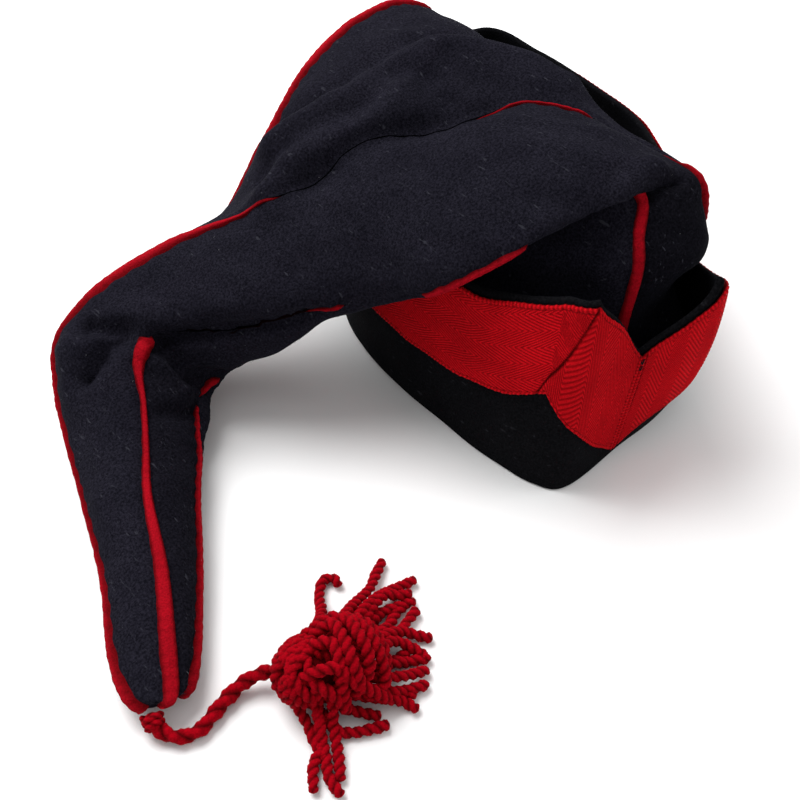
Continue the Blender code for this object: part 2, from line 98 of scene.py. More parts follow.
def spline_at(rows, where, closed):
    """The smooth curve through the rows, at each place counted in rows."""
    rows = np.asarray(rows, float)
    count = len(rows)
    where = np.atleast_1d(np.asarray(where, float))
    first = np.floor(where).astype(int)
    if not closed:
        first = np.clip(first, 0, count - 2)
    t = (where - first).reshape((-1,) + (1,) * (rows.ndim - 1))

    def row(index):
        if closed:
            return rows[index % count]
        past = np.clip(index, 0, count - 1)
        overshoot = (index - past).reshape(t.shape)
        inner = np.where(overshoot < 0, 1, count - 2)
        return rows[past] + np.abs(overshoot) * (rows[past] - rows[inner.reshape(-1)])

    a, b, c, d = (row(first + shift) for shift in (-1, 0, 1, 2))
    return b + 0.5 * t * (c - a + t * (2 * a - 5 * b + 4 * c - d + t * (3 * (b - c) + d - a)))


def reached(line):
    """How far along a line each of its points is."""
    return np.concatenate([[0.0], np.cumsum(np.linalg.norm(np.diff(line, axis=0), axis=1))])


def along_line(line, lengths):
    far = reached(line)
    return np.stack([np.interp(lengths, far, line[:, axis]) for axis in range(3)], axis=1)


def evenly(points, step):
    """A smooth line through the points, with a point every step or so."""
    fine = spline_at(points, np.linspace(0, len(points) - 1, 40 * len(points)), False)
    total = reached(fine)[-1]
    return along_line(fine, np.linspace(0, total, max(4, int(round(total / step)) + 1)))


def ripples(points, wavelength, seed, waves=10):
    """A smooth height, mostly from -1 to 1, with bumps about a wavelength apart."""
    rng = np.random.default_rng(seed)
    pitch = 2 * math.pi / (wavelength * rng.uniform(0.75, 1.5, waves))
    headings = unit(rng.normal(size=(waves, 3))) * pitch[:, None]
    return np.cos(points @ headings.T + rng.uniform(0, 6.3, waves)).sum(axis=-1) / math.sqrt(waves)


print("a smooth line through 3 points has", len(evenly(np.eye(3), 0.1)), "points")

# %% Helper that joins rings of points into a closed mesh
SHARP_ANGLE = math.radians(60)


def skin(name, rings, closed, finish, **marks):
    """One closed object from like rings of points. Each mark holds one number for each point."""
    rows, around = rings.shape[:2]
    index = np.arange(rows * around).reshape(rows, around)
    beside = np.roll(index, -1, axis=1)
    quads = np.stack([index, beside, np.roll(beside, -1, axis=0), np.roll(index, -1, axis=0)], axis=-1)
    quads = quads if closed else quads[:-1]
    faces = [quads.reshape(-1, 4)]
    if not closed:
        near = np.arange(around // 2 - 1)
        far = around - 1 - near
        faces.append(np.stack([near + 1, near, far, far - 1], axis=-1))
        faces.append(np.stack([near, near + 1, far - 1, far], axis=-1) + index[-1, 0])
    faces = np.concatenate(faces)
    points = rings.reshape(-1, 3)
    corners = points[faces]
    volume = np.einsum("ij,ij->i", np.cross(corners[:, 0], corners[:, 1]), corners[:, 2]).sum()
    volume += np.einsum("ij,ij->i", np.cross(corners[:, 0], corners[:, 2]), corners[:, 3]).sum()
    faces = faces if volume > 0 else faces[:, ::-1]
    mesh = bpy.data.meshes.new(name)
    mesh.from_pydata(points.tolist(), [], faces.tolist())
    for label, values in marks.items():
        mesh.attributes.new(label, "FLOAT", "POINT").data.foreach_set("value", np.ravel(values))
    mesh.shade_smooth()
    mesh.set_sharp_from_angle(angle=SHARP_ANGLE)
    mesh.materials.append(finish)
    made = bpy.data.objects.new(name, mesh)
    bpy.context.scene.collection.objects.link(made)
    return made


def stands_for(piece, slot, *nodes):
    """The piece rides with the cap and hides the solids it replaces. The slot is not used."""
    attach(piece, "root")
    if nodes:
        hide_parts(*nodes)
    return piece


# %% [markdown]
# ## Red wool yarn
#
# The cord and the tassel are twisted from soft wool yarn. Wool has no shine of its own, but its loose
# fibres catch light at the edges, which is what sheen is for. The twist itself is modelled, and each
# point of the yarn knows how deep it lies between two plies. The finish uses that depth to darken the
# grooves, where less light reaches the dye, and adds fine fibre as noise and bump.

# %% Helpers for finishes, and the yarn
def start_finish(name, roughness, sheen, sheen_tint):
    finish = bpy.data.materials.new(name)
    finish.use_nodes = True
    shader = finish.node_tree.nodes["Principled BSDF"]
    shader.inputs["Roughness"].default_value = roughness
    shader.inputs["Specular IOR Level"].default_value = 0.03
    shader.inputs["Sheen Weight"].default_value = sheen
    shader.inputs["Sheen Roughness"].default_value = 0.45
    shader.inputs["Sheen Tint"].default_value = (*sheen_tint, 1.0)
    return finish, shader


def add_node(finish, kind, **settings):
    made = finish.node_tree.nodes.new(kind)
    for name, value in settings.items():
        setattr(made, name, value)
    return made


def join(finish, start, end):
    finish.node_tree.links.new(start, end)


def grain(finish, scale, detail, stretch=(1, 1, 1)):
    """Noise fixed to the cloth, stretched where a stretch is given."""
    where = add_node(finish, "ShaderNodeTexCoord")
    mapping = add_node(finish, "ShaderNodeMapping")
    mapping.inputs["Scale"].default_value = stretch
    noise = add_node(finish, "ShaderNodeTexNoise")
    noise.inputs["Scale"].default_value = scale
    noise.inputs["Detail"].default_value = detail
    noise.inputs["Roughness"].default_value = 0.6
    join(finish, where.outputs["Object"], mapping.inputs["Vector"])
    join(finish, mapping.outputs["Vector"], noise.inputs["Vector"])
    return noise.outputs["Fac"]


def between(finish, share, low, high, first, second):
    """A colour that goes from first to second as share goes from low to high."""
    ramp = add_node(finish, "ShaderNodeValToRGB")
    ramp.color_ramp.elements[0].position = low
    ramp.color_ramp.elements[0].color = (*first, 1.0)
    ramp.color_ramp.elements[1].position = high
    ramp.color_ramp.elements[1].color = (*second, 1.0)
    join(finish, share, ramp.inputs["Fac"])
    return ramp.outputs["Color"]


def times(finish, first, second):
    """One colour multiplied by another."""
    mix = add_node(finish, "ShaderNodeMix", data_type="RGBA", blend_type="MULTIPLY")
    mix.inputs["Factor"].default_value = 1.0
    join(finish, first, mix.inputs["A"])
    join(finish, second, mix.inputs["B"])
    return mix.outputs["Result"]


def raise_grain(finish, shader, height, depth):
    bump = add_node(finish, "ShaderNodeBump")
    bump.inputs["Strength"].default_value = 1.0
    bump.inputs["Distance"].default_value = depth
    join(finish, height, bump.inputs["Height"])
    join(finish, bump.outputs["Normal"], shader.inputs["Normal"])


def yarn_finish(name, crest, groove):
    finish, shader = start_finish(name, 0.85, 0.03, (1.0, 0.2, 0.25))
    depth = add_node(finish, "ShaderNodeAttribute", attribute_name="depth")
    # Painted shade: the dye's crest colour darkens to the groove colour as the depth between plies grows
    dye_and_groove_shade = between(finish, depth.outputs["Fac"], 0.1, 0.95, crest, groove)
    fibre = grain(finish, 1600, 3)
    mottled = between(finish, fibre, 0.3, 0.7, (0.72, 0.72, 0.72), (1.15, 1.1, 1.1))
    join(finish, times(finish, dye_and_groove_shade, mottled), shader.inputs["Base Color"])
    raise_grain(finish, shader, fibre, 0.00035)
    return finish


red_yarn = yarn_finish("red wool yarn", (0.33, 0.0004, 0.0060), (0.075, 0.0001, 0.0012))
print("finish made:", red_yarn.name)

# %% [markdown]
# ## The cord
#
# A cord is twisted from two strands, so a slice through it isn't round but shaped like an 8 that
# slowly turns. A plain tube with a bump map looks like plastic, so here the slice itself turns along
# the cord. Each strand has its own finer twist, which shows as slanting ridges on the big ones.
# The cord leaves the crown's tip, turns on the table and runs to the tassel's head.

# %% Sizes and route of the cord
CORD_DIAMETER = 0.0055
CORD_PITCH = 0.0146
CORD_PLY_PITCH = 0.0036
YARN_STEP = 0.0005
BAND_MIDDLE = (0.0882, 0.0010)
CORD_ROUTE = (
    (-0.2581, -0.0659, 0.0069),
    (-0.2589, -0.0684, 0.0058),
    (-0.2589, -0.0715, 0.0048),
    (-0.2579, -0.0745, 0.0040),
    (-0.2562, -0.0771, 0.0035),
    (-0.2538, -0.0790, 0.0033),
    (-0.2509, -0.0801, 0.0032),
    (-0.2478, -0.0804, 0.0032),
    (-0.2456, -0.0800, 0.0032),
    (-0.2416, -0.0789, 0.0032),
    (-0.2372, -0.0778, 0.0033),
    (-0.2327, -0.0770, 0.0036),
    (-0.2281, -0.0769, 0.0045),
    (-0.2237, -0.0782, 0.0061),
    (-0.2198, -0.0806, 0.0078),
)
print("points in the cord's route:", len(CORD_ROUTE))

# %% Twist a cord along its line
def frames_along(line):
    """Directions ahead, to one side and up at each point of a line, with no twist of their own."""
    ahead = unit(np.gradient(line, axis=0))
    side = [unit(np.cross(ahead[0], (0.1, 0.2, 1.0)))]
    for heading in ahead[1:]:
        kept = side[-1] - heading * (side[-1] @ heading)
        side.append(unit(kept))
    side = np.array(side)
    return ahead, side, np.cross(ahead, side)


def plied(line, diameter, pitch, ply_pitch, points_round, start=0.0):
    """Rings of a two-ply twist along a line, and each point's depth in the groove."""
    _, side, up = frames_along(line)
    far = reached(line)[:, None]
    angle = np.arange(points_round)[None, :] * 2 * math.pi / points_round
    turned = angle - far / pitch * 2 * math.pi - start
    lobe = np.abs(np.cos(turned))
    ridges = np.cos(far / ply_pitch * 2 * math.pi + 2 * angle) * lobe
    to_end = np.clip(np.minimum(far, far[-1] - far) / diameter * 2, 0.0, 1.0)
    blunt = 0.25 + 0.75 * np.sqrt(1 - (1 - to_end) ** 2)
    uneven = 1 + 0.05 * ripples(line, diameter * 2.5, int(start * 10) + 60)[:, None]
    radius = diameter / 2 * (0.64 + 0.36 * lobe + 0.07 * ridges) * blunt * uneven
    rings = line[:, None] + radius[..., None] * (
        side[:, None] * np.cos(angle)[..., None] + up[:, None] * np.sin(angle)[..., None])
    return rings, np.clip(1 - lobe - 0.25 * ridges, 0, 1)


route = np.array(CORD_ROUTE) + (*BAND_MIDDLE, 0.0)
into_the_head = route[-1] + (route[-1] - route[-2]) * 0.5
cord_line = evenly(np.vstack([route, into_the_head]), YARN_STEP)
rings, depth = plied(cord_line, CORD_DIAMETER, CORD_PITCH, CORD_PLY_PITCH, 24)
cord = stands_for(skin("cord", rings, False, red_yarn, depth=depth), "red_wool_yarn", "tassel_cord")

# %% [markdown]
# ## The shape of the band
#
# Seen from above the band isn't a circle: it is dented at the right, straight along the back left
# and peaked at the front, because soft cloth never stands evenly. One row for each of 17 stations
# round it says where its rim, its waist and its top edge stand, as shares of the band's half width
# and half length, and how high the tape begins and how wide it is there. A smooth curve through the
# stations gives the plan, and straight runs between them give the heights, so the peaks stay sharp.

# %% Sizes and stations of the band
HALF_WIDTH = 0.084
HALF_LENGTH = 0.111
WALL = 0.003
CLOTH_UNDER_TAPE = 0.040
TAPE_WIDTH = 0.045
TAPE_THICKNESS = 0.0012
GAP = 0.0004
BAND_HEIGHT = CLOTH_UNDER_TAPE + TAPE_WIDTH
# rim side, rim fore, waist side, waist fore, top side, top fore, cloth under tape, tape
BAND = np.array((
    (-0.56, -0.85, -0.53, -0.86, -0.51, -0.87, 0.18, 1.18),
    (-0.87, -0.84, -0.84, -0.82, -0.80, -0.80, 0.80, 1.39),
    (-0.97, -0.74, -0.94, -0.72, -0.86, -0.70, 1.26, 0.93),
    (-1.00, -0.60, -0.98, -0.58, -0.91, -0.57, 1.04, 0.98),
    (-1.00, -0.36, -1.00, -0.37, -0.98, -0.39, 0.89, 1.00),
    (-0.98, -0.06, -1.00, -0.09, -1.00, -0.12, 0.87, 1.03),
    (-0.92, 0.22, -0.95, 0.21, -0.96, 0.20, 0.92, 1.02),
    (-0.75, 0.50, -0.79, 0.50, -0.81, 0.49, 0.94, 1.02),
    (-0.38, 0.79, -0.40, 0.79, -0.42, 0.78, 0.95, 1.00),
    (0.23, 0.95, 0.23, 0.95, 0.23, 0.95, 0.92, 1.00),
    (0.82, 0.92, 0.85, 0.91, 0.88, 0.90, 0.95, 1.00),
    (0.99, 0.62, 1.00, 0.61, 0.95, 0.60, 0.92, 1.00),
    (1.00, 0.26, 0.97, 0.27, 0.89, 0.27, 0.92, 1.00),
    (0.90, -0.09, 0.86, -0.07, 0.79, -0.05, 0.92, 1.00),
    (0.64, -0.43, 0.61, -0.38, 0.56, -0.32, 0.93, 1.00),
    (0.34, -0.70, 0.22, -0.72, 0.10, -0.73, 0.80, 0.91),
    (0.05, -0.83, -0.10, -0.95, -0.20, -0.98, 0.68, 1.42),
))
STATIONS = len(BAND)
BACK_SEAM = 9
PEAK_FULLNESS = 0.0038
print("stations round the band:", STATIONS)

# %% Points of the band
def straight_at(values, where):
    values = np.append(values, values[0])
    return np.interp(np.mod(where, STATIONS), np.arange(STATIONS + 1), values)


def band_heights(where):
    """Height of the tape's lower edge and of the band's top edge at stations round the band."""
    lower = straight_at(BAND[:, 6] * CLOTH_UNDER_TAPE, where)
    peak = PEAK_FULLNESS * np.sin(math.pi * np.clip(np.mod(where, STATIONS), 0, 1)) ** 2
    return lower, lower + straight_at(BAND[:, 7] * TAPE_WIDTH, where) + peak


def band_points(where, share, outset):
    """Points of the band's outer face at a share of its height, moved level outwards."""
    rows = BAND[:, :6].reshape(-1, 3, 2) * (HALF_WIDTH, HALF_LENGTH)
    where, share = np.broadcast_arrays(np.asarray(where, float), np.asarray(share, float))
    flat_where, s = where.ravel(), share.ravel()[:, None]

    def plan(places):
        rim, waist, top = np.moveaxis(spline_at(rows, places, True), 1, 0)
        return rim * (1 - s) * (1 - 2 * s) + waist * 4 * s * (1 - s) + top * s * (2 * s - 1)

    ahead = unit(plan(flat_where + 0.02) - plan(flat_where - 0.02))
    outward = np.stack([-ahead[:, 1], ahead[:, 0]], axis=1)
    flat_outset = np.broadcast_to(outset, where.shape).ravel()[:, None]
    places = plan(flat_where) + outward * flat_outset
    heights = band_heights(flat_where)[1] * s[:, 0]
    return np.column_stack([places + BAND_MIDDLE, heights]).reshape(*where.shape, 3)


once_round = band_points(np.linspace(0, STATIONS, 400), 0.5, 0.0)
print("round the band in mm:", round(reached(once_round)[-1] * 1000))

# %% [markdown]
# ## Dark wool cloth
#
# The cap is cut from broadcloth: wool woven, shrunk and brushed until the weave is hidden under a
# nap of short fibres. A weave pattern would be wrong here. The finish is noise at three sizes: the
# nap, a slow cloudiness where the nap lies in different directions, and long thin fibres, made by
# stretching noise. Sheen gives the pale bloom that dark wool has where light grazes it. Shade is also
# painted in: each point of a gore stores a painted shade factor, darker where the gore stands upright
# in the band and towards the tail's tip, and the crown's finish is multiplied by that.

# %% Two dark wools, for the crown and for the band
NAP_DEPTH = 0.00025


def wool_finish(name, deep, lit, fibre_colour, sheen, with_painted_shade=False):
    finish, shader = start_finish(name, 0.95, sheen, (0.62, 0.66, 1.0))
    nap = grain(finish, 1150, 4)
    dye_and_groove_shade = between(finish, nap, 0.37, 0.67, deep, lit)
    clouds = between(finish, grain(finish, 38, 3), 0.3, 0.7, (0.78, 0.78, 0.80), (1.15, 1.15, 1.12))
    clouded = times(finish, dye_and_groove_shade, clouds)
    # Painted shade: the gores' stored factor darkens the crown's colour where it is under 1
    if with_painted_shade:
        brushing = add_node(finish, "ShaderNodeAttribute", attribute_name="brushing")
        painted_shade_factor = between(finish, brushing.outputs["Fac"], 0, 1, (0, 0, 0), (1, 1, 1))
        clouded = times(finish, clouded, painted_shade_factor)
    streaks = grain(finish, 700, 2, stretch=(1.0, 0.22, 0.5))
    shown = between(finish, streaks, 0.66, 0.74, (0, 0, 0), (1, 1, 1))
    mix = add_node(finish, "ShaderNodeMix", data_type="RGBA", blend_type="MIX")
    mix.inputs["B"].default_value = (*fibre_colour, 1.0)
    join(finish, shown, mix.inputs["Factor"])
    join(finish, clouded, mix.inputs["A"])
    join(finish, mix.outputs["Result"], shader.inputs["Base Color"])
    raise_grain(finish, shader, nap, NAP_DEPTH)
    return finish


navy_wool = wool_finish("navy wool", (0.0038, 0.0036, 0.0064), (0.0150, 0.0140, 0.0220),
                        (0.026, 0.026, 0.034), 0.006, with_painted_shade=True)
black_wool = wool_finish("black wool", (0.0018, 0.0018, 0.0023), (0.0062, 0.0061, 0.0075),
                         (0.015, 0.015, 0.018), 0.003)
print("wool finishes:", navy_wool.name, "and", black_wool.name)

# %% [markdown]
# ## The band's cloth
#
# The band is cloth turned over a stiff layer, 3 mm thick, so its edges are soft rolls, not corners.
# Each slice through it goes up the outside, over a half circle, down the inside and under another.
# Slow ripples keep it from looking machined. The ripples are sums of waves that start at seeded
# random places, so they come out the same on every run.

# %% Make the band
SLICES_A_STATION = 26
POINTS_UP_WALL = 20
ROLL_POINTS = 6
BAND_INSET = 0.0003
BAND_RIPPLE = 0.00025
BAND_RIPPLE_LENGTH = 0.030


def band_slice(heights_up):
    """Shares up the wall and depths into it, once round a slice, for a band of this height."""
    roll = np.linspace(0, math.pi, ROLL_POINTS)
    radius = WALL / 2
    depth_over = radius * (1 - np.cos(roll))
    rise_over = radius * np.sin(roll)
    top = heights_up[:, None]
    up_wall = np.linspace(0, 1, POINTS_UP_WALL + 2)[1:-1] * (top - 2 * radius) + radius
    under = np.broadcast_to(radius - rise_over, (len(top), ROLL_POINTS))
    heights = np.concatenate([up_wall, top - radius + rise_over, up_wall[:, ::-1], under], axis=1)
    outside = np.zeros(up_wall.shape[1])
    depths = np.concatenate([outside, depth_over, outside + WALL, depth_over[::-1]])
    return heights / top, depths


def make_band():
    where = np.arange(STATIONS * SLICES_A_STATION) / SLICES_A_STATION
    shares, depths = band_slice(band_heights(where)[1])
    waved = band_points(where[:, None], shares, -depths)
    outset = -depths - BAND_INSET + BAND_RIPPLE * ripples(waved, BAND_RIPPLE_LENGTH, 4)
    rings = band_points(where[:, None], shares, outset)
    return stands_for(skin("band", rings, True, black_wool), "band_broadcloth", "turban")


band = make_band()
print("faces in the band:", len(band.data.polygons))

# %% [markdown]
# ## The red tape
#
# The tape is a wool herringbone: fine slanting ribs that turn back at every stripe along its length.
# They stand about a third of a millimetre proud, so they are modelled as real ridges: the height is a
# wave of how far along and how far across a point is, and the distance across zigzags at each stripe.
# The mesh has a point about every half millimetre, which carries a ridge but not a crisp one. So each
# point also stores how many ribs lie before it, and the finish shades every rib from that count.
#
# Two more things make it tape and not paint. Its edges are pulled into small scallops by their
# stitches, and at the front corners it is folded into a mitre, which leaves a dark groove.

# %% Finish for tape and piping
def number_node(finish, operation, *values):
    """A sum, product or cosine of numbers and of other nodes' numbers."""
    made = add_node(finish, "ShaderNodeMath", operation=operation)
    for socket, value in zip(made.inputs, values):
        if isinstance(value, bpy.types.NodeSocket):
            join(finish, value, socket)
        else:
            socket.default_value = value
    return made.outputs["Value"]


def red_cloth_finish(name, crest, groove, grain_scale, bump, ribbed=False):
    finish, shader = start_finish(name, 0.88, 0.01, (1.0, 0.2, 0.25))
    depth = add_node(finish, "ShaderNodeAttribute", attribute_name="depth")
    # Painted shade: the crest colour darkens to the groove colour with depth, at mitres, stitches, edges
    # and pinches
    dye_and_groove_shade = between(finish, depth.outputs["Fac"], 0.15, 0.95, crest, groove)
    fibre = grain(finish, grain_scale, 4)
    mottled = between(finish, fibre, 0.3, 0.72, (0.68, 0.68, 0.68), (1.15, 1.2, 1.2))
    slow = between(finish, grain(finish, 45, 2), 0.3, 0.7, (0.86, 0.86, 0.86), (1.08, 1.08, 1.08))
    # Piping that is sunk in a closed seam has a depth over 1, and almost no light reaches it
    half_depth = number_node(finish, "MULTIPLY", depth.outputs["Fac"], 0.5)
    shut_in = between(finish, half_depth, 0.55, 0.8, (1, 1, 1), (0.03, 0.03, 0.03))
    colour = dye_and_groove_shade
    for shade in (mottled, slow, shut_in):
        colour = times(finish, colour, shade)
    height = fibre
    if ribbed:
        ribs = add_node(finish, "ShaderNodeAttribute", attribute_name="ribs")
        turned = number_node(finish, "MULTIPLY", ribs.outputs["Fac"], 2 * math.pi)
        wave = number_node(finish, "COSINE", turned)
        crests = number_node(finish, "MULTIPLY_ADD", wave, 0.5, 0.5)
        # Painted shade between the ribs, and a painted highlight on their crests
        rib_shade = between(finish, crests, 0.05, 0.80, (0.60, 0.56, 0.56), (1.14, 1.14, 1.14))
        colour = times(finish, colour, rib_shade)
        height = number_node(finish, "ADD", fibre, crests)
    join(finish, colour, shader.inputs["Base Color"])
    raise_grain(finish, shader, height, bump)
    return finish


red_tape = red_cloth_finish("red twill tape", (0.53, 0.0037, 0.0083), (0.14, 0.0007, 0.0016),
                            grain_scale=1500, bump=0.0002, ribbed=True)
red_piping = red_cloth_finish("red piping cloth", (0.32, 0.0027, 0.0088), (0.12, 0.0010, 0.0028),
                              grain_scale=1300, bump=0.0004)
print("tape and piping finishes made")

# %% Lay out the tape's ribs
STRIPE = 0.0075
RIB_ALONG = 0.0026
RIB_ACROSS = 0.0013
SELVEDGE_RIB = 0.0017
SELVEDGE_WIDTH = 0.0018
END_WIDTH = 0.0021
WANDER = 0.00035
WANDER_LENGTH = 0.018
TAPE_STEP = 0.00052
HALF_ROUND = STATIONS / 2
# How far the tape's top edge lies below the cloth's: station, metres
TAPE_DROP = ((0, 0.0016), (8.6, 0.0020), (9.2, 0.0034), (11.2, 0.0034), (11.8, 0.0014), (13.2, 0.0014),
             (13.8, 0.0018), (15.7, 0.0018), (15.95, 0.0038), (16.15, 0.0038), (16.4, 0.0018), (17, 0.0016))
# Each mitre's upper and lower ends: station, share of the way up the tape
MITRES = (((1.16, 0.90), (2.20, 0.05)), ((-1.16, 0.90), (-1.42, 0.05)))


def mitre_distance(where, up, mitre, per_station):
    """How far each point is from a mitre's line, in metres, under zero on the side of the seam."""
    (top_at, top_up), (low_at, low_up) = mitre
    at = low_at + (top_at - low_at) * (up - low_up) / (top_up - low_up)
    return (where - at) * per_station * np.sign(low_at)


def tape_stations(start, end):
    """Stations every half millimetre or so along a stretch of tape."""
    fine = np.linspace(start, end, 2000)
    far = reached(band_points(fine, 0.75, 0.0))
    count = int(far[-1] / TAPE_STEP)
    return np.interp(np.linspace(0, far[-1], count), far, fine), np.linspace(0, far[-1], count)


def herringbone(along, across):
    """Slanting ribs that turn back at every stripe, as a count of ribs passed."""
    stripe = np.abs(np.mod(across / STRIPE, 2) - 1) * STRIPE
    return along / RIB_ALONG + stripe / RIB_ACROSS


def selvedge(ribs, to_edge, along, width):
    """The same count, but with the ribs square to the edge in a strip beside it."""
    return np.where(to_edge < width, along / SELVEDGE_RIB + to_edge / RIB_ALONG / 2, ribs)


def tape_ribs(where, along, across, from_mitres, to_edge, to_end):
    """How many ribs lie before each point: along the band, turned between the mitres, square at edges."""
    wander = WANDER * ripples(band_points(where[:, None], 0.7, 0.0), WANDER_LENGTH, 9)
    turned = np.where((where > HALF_ROUND)[:, None], from_mitres[1], from_mitres[0]) < 0
    ribs = np.where(turned, herringbone(across + wander, to_end + wander),
                    herringbone(along[:, None] + wander, across + wander))
    ribs = selvedge(ribs, to_edge, along[:, None] + wander, SELVEDGE_WIDTH)
    return selvedge(ribs, to_end, across + wander, END_WIDTH)


print("ribs in 100 mm of tape:", round(float(herringbone(0.1, 0.0))))

# %% Weave the tape
ACROSS_TAPE = 108
RIB_HEIGHT = 0.00032
STITCH_STEP = 0.0034
ROLLED_EDGE = 0.0009
# Each line of stitches: how far in it lies, how wide its dent is and how deep
HEM_STITCHES = (0.0019, 0.0007, 0.0004)
SEAM_STITCHES = (END_WIDTH, 0.0005, 0.0006)
MITRE_WIDTH = 0.0006
MITRE_DEPTH = 0.0007
MITRE_REACH = 0.02
SCALLOP = 0.0003
SCALLOP_MIDDLE = 0.00012
EDGE_FADE = 0.002
# Share of the band's height that the tape's back stops short of its face
BACK_INSET = 0.0006
# Stations from a seam to the tape's end
FROM_SEAM = 0.006


def stitch_dents(along):
    """One where a stitch pulls in, nothing between stitches."""
    return np.clip(np.cos(2 * math.pi * along / STITCH_STEP), 0, 1) ** 2


def tape_rings(start, end):
    """The tape's slices, with each point's depth in a groove and its count of ribs."""
    where, along = tape_stations(start, end)
    lower, top = band_heights(where)
    edge = top - np.interp(where, *zip(*TAPE_DROP))
    up = np.linspace(0, 1, ACROSS_TAPE)[None, :]
    across = up * (edge - lower)[:, None]
    to_edge = np.minimum(across, (edge - lower)[:, None] - across)
    to_end = np.minimum(along, along[-1] - along)[:, None]
    per_station = (np.gradient(along) / np.gradient(where))[:, None]
    from_front = np.where(where > HALF_ROUND, where - STATIONS, where)[:, None]
    from_mitres = [mitre_distance(from_front, up, mitre, per_station) for mitre in MITRES]
    mitre = sum(np.exp(-(away / MITRE_WIDTH) ** 2) * (np.abs(away) < MITRE_REACH) for away in from_mitres)
    ribs = tape_ribs(where, along, across, from_mitres, to_edge, to_end)
    rib = 0.5 + 0.5 * np.cos(2 * math.pi * ribs)
    dents = stitch_dents(along)[:, None]
    hem_in, hem_width, hem_depth = HEM_STITCHES
    seam_in, seam_width, seam_depth = SEAM_STITCHES
    hem = np.exp(-((to_edge - hem_in) / hem_width) ** 2) * (0.25 + 0.75 * dents)
    seam = np.exp(-((to_end - seam_in) / seam_width) ** 2) * (0.45 + 0.55 * stitch_dents(across))
    rolled = np.clip(np.minimum(to_edge, to_end) / ROLLED_EDGE, 0, 1)
    inner = np.clip(np.minimum(to_edge, to_end) / EDGE_FADE - 0.5, 0.35, 1)
    height = TAPE_THICKNESS * (0.35 + 0.65 * np.sqrt(1 - (1 - rolled) ** 2)) - MITRE_DEPTH * mitre
    height = height - hem_depth * hem - seam_depth * seam + RIB_HEIGHT * (rib - 1) * rolled * inner
    # Painted shade: the mitre groove, the stitch dents and the rolled edges are darkened in colour as well
    # as sunk
    depth = np.clip(0.9 * mitre + 0.45 * hem + seam + 0.3 * (1 - rolled), 0, 1)
    slow = ripples(band_points(where[:, None], 0.8, 0.0), 0.02, 3)
    sway = SCALLOP * dents - SCALLOP_MIDDLE + SCALLOP * slow
    share = (lower[:, None] + across + sway * (up * 2 - 1) ** 5) / top[:, None]
    face = band_points(where[:, None], np.minimum(share, 1.0), GAP + height)
    back_share = np.stack([share[:, -1] - BACK_INSET, share[:, 0] + BACK_INSET], axis=1)
    back = band_points(where[:, None], np.clip(back_share, 0, 1), GAP * 0.6)
    hidden = np.ones_like(back_share)
    marks = {"depth": np.concatenate([depth, hidden], axis=1),
             "ribs": np.concatenate([ribs, hidden], axis=1)}
    return np.concatenate([face, back], axis=1), marks


def make_tape(name, start, end, node):
    rings, marks = tape_rings(start, end)
    return stands_for(skin(name, rings, False, red_tape, **marks), "red_twill_tape", node)


tape_right = make_tape("tape_on_the_right", FROM_SEAM, BACK_SEAM - FROM_SEAM, "tape_right")
tape_left = make_tape("tape_on_the_left", BACK_SEAM + FROM_SEAM, STATIONS - FROM_SEAM, "tape_left")
print("faces in the tape:", len(tape_right.data.polygons) + len(tape_left.data.polygons))

# %% [markdown]
# ## The shape of the crown
#
# The crown is a long bag of four gores. The easiest way to hold such a shape in a few numbers is by
# its four seams: each row of the table is one section across the bag and says where the top, front,
# under and back seams pass. Between two seams the gore bellies out as an arc, more or less full.
# Loops drawn that way, from the hem inside the band to the tip, give the whole skin.

# %% Sections of the crown
REACH = 0.175
RISE = 0.037
CLOTH = 0.0015
HEM_HEIGHT = 0.003
LEAN = 0.008
PIPING_WIDTH = 0.0048
LOOP_STEPS = 64
ROUNDING_PASSES = 48
STEPS_A_SECTION = 14
BASE_LEVELS = (0.0, 0.28, 0.55)
# top, front, under and back seam, as stations of the band
BASE_SEAMS = (14.6, 17.0, 6.1, 9.4)
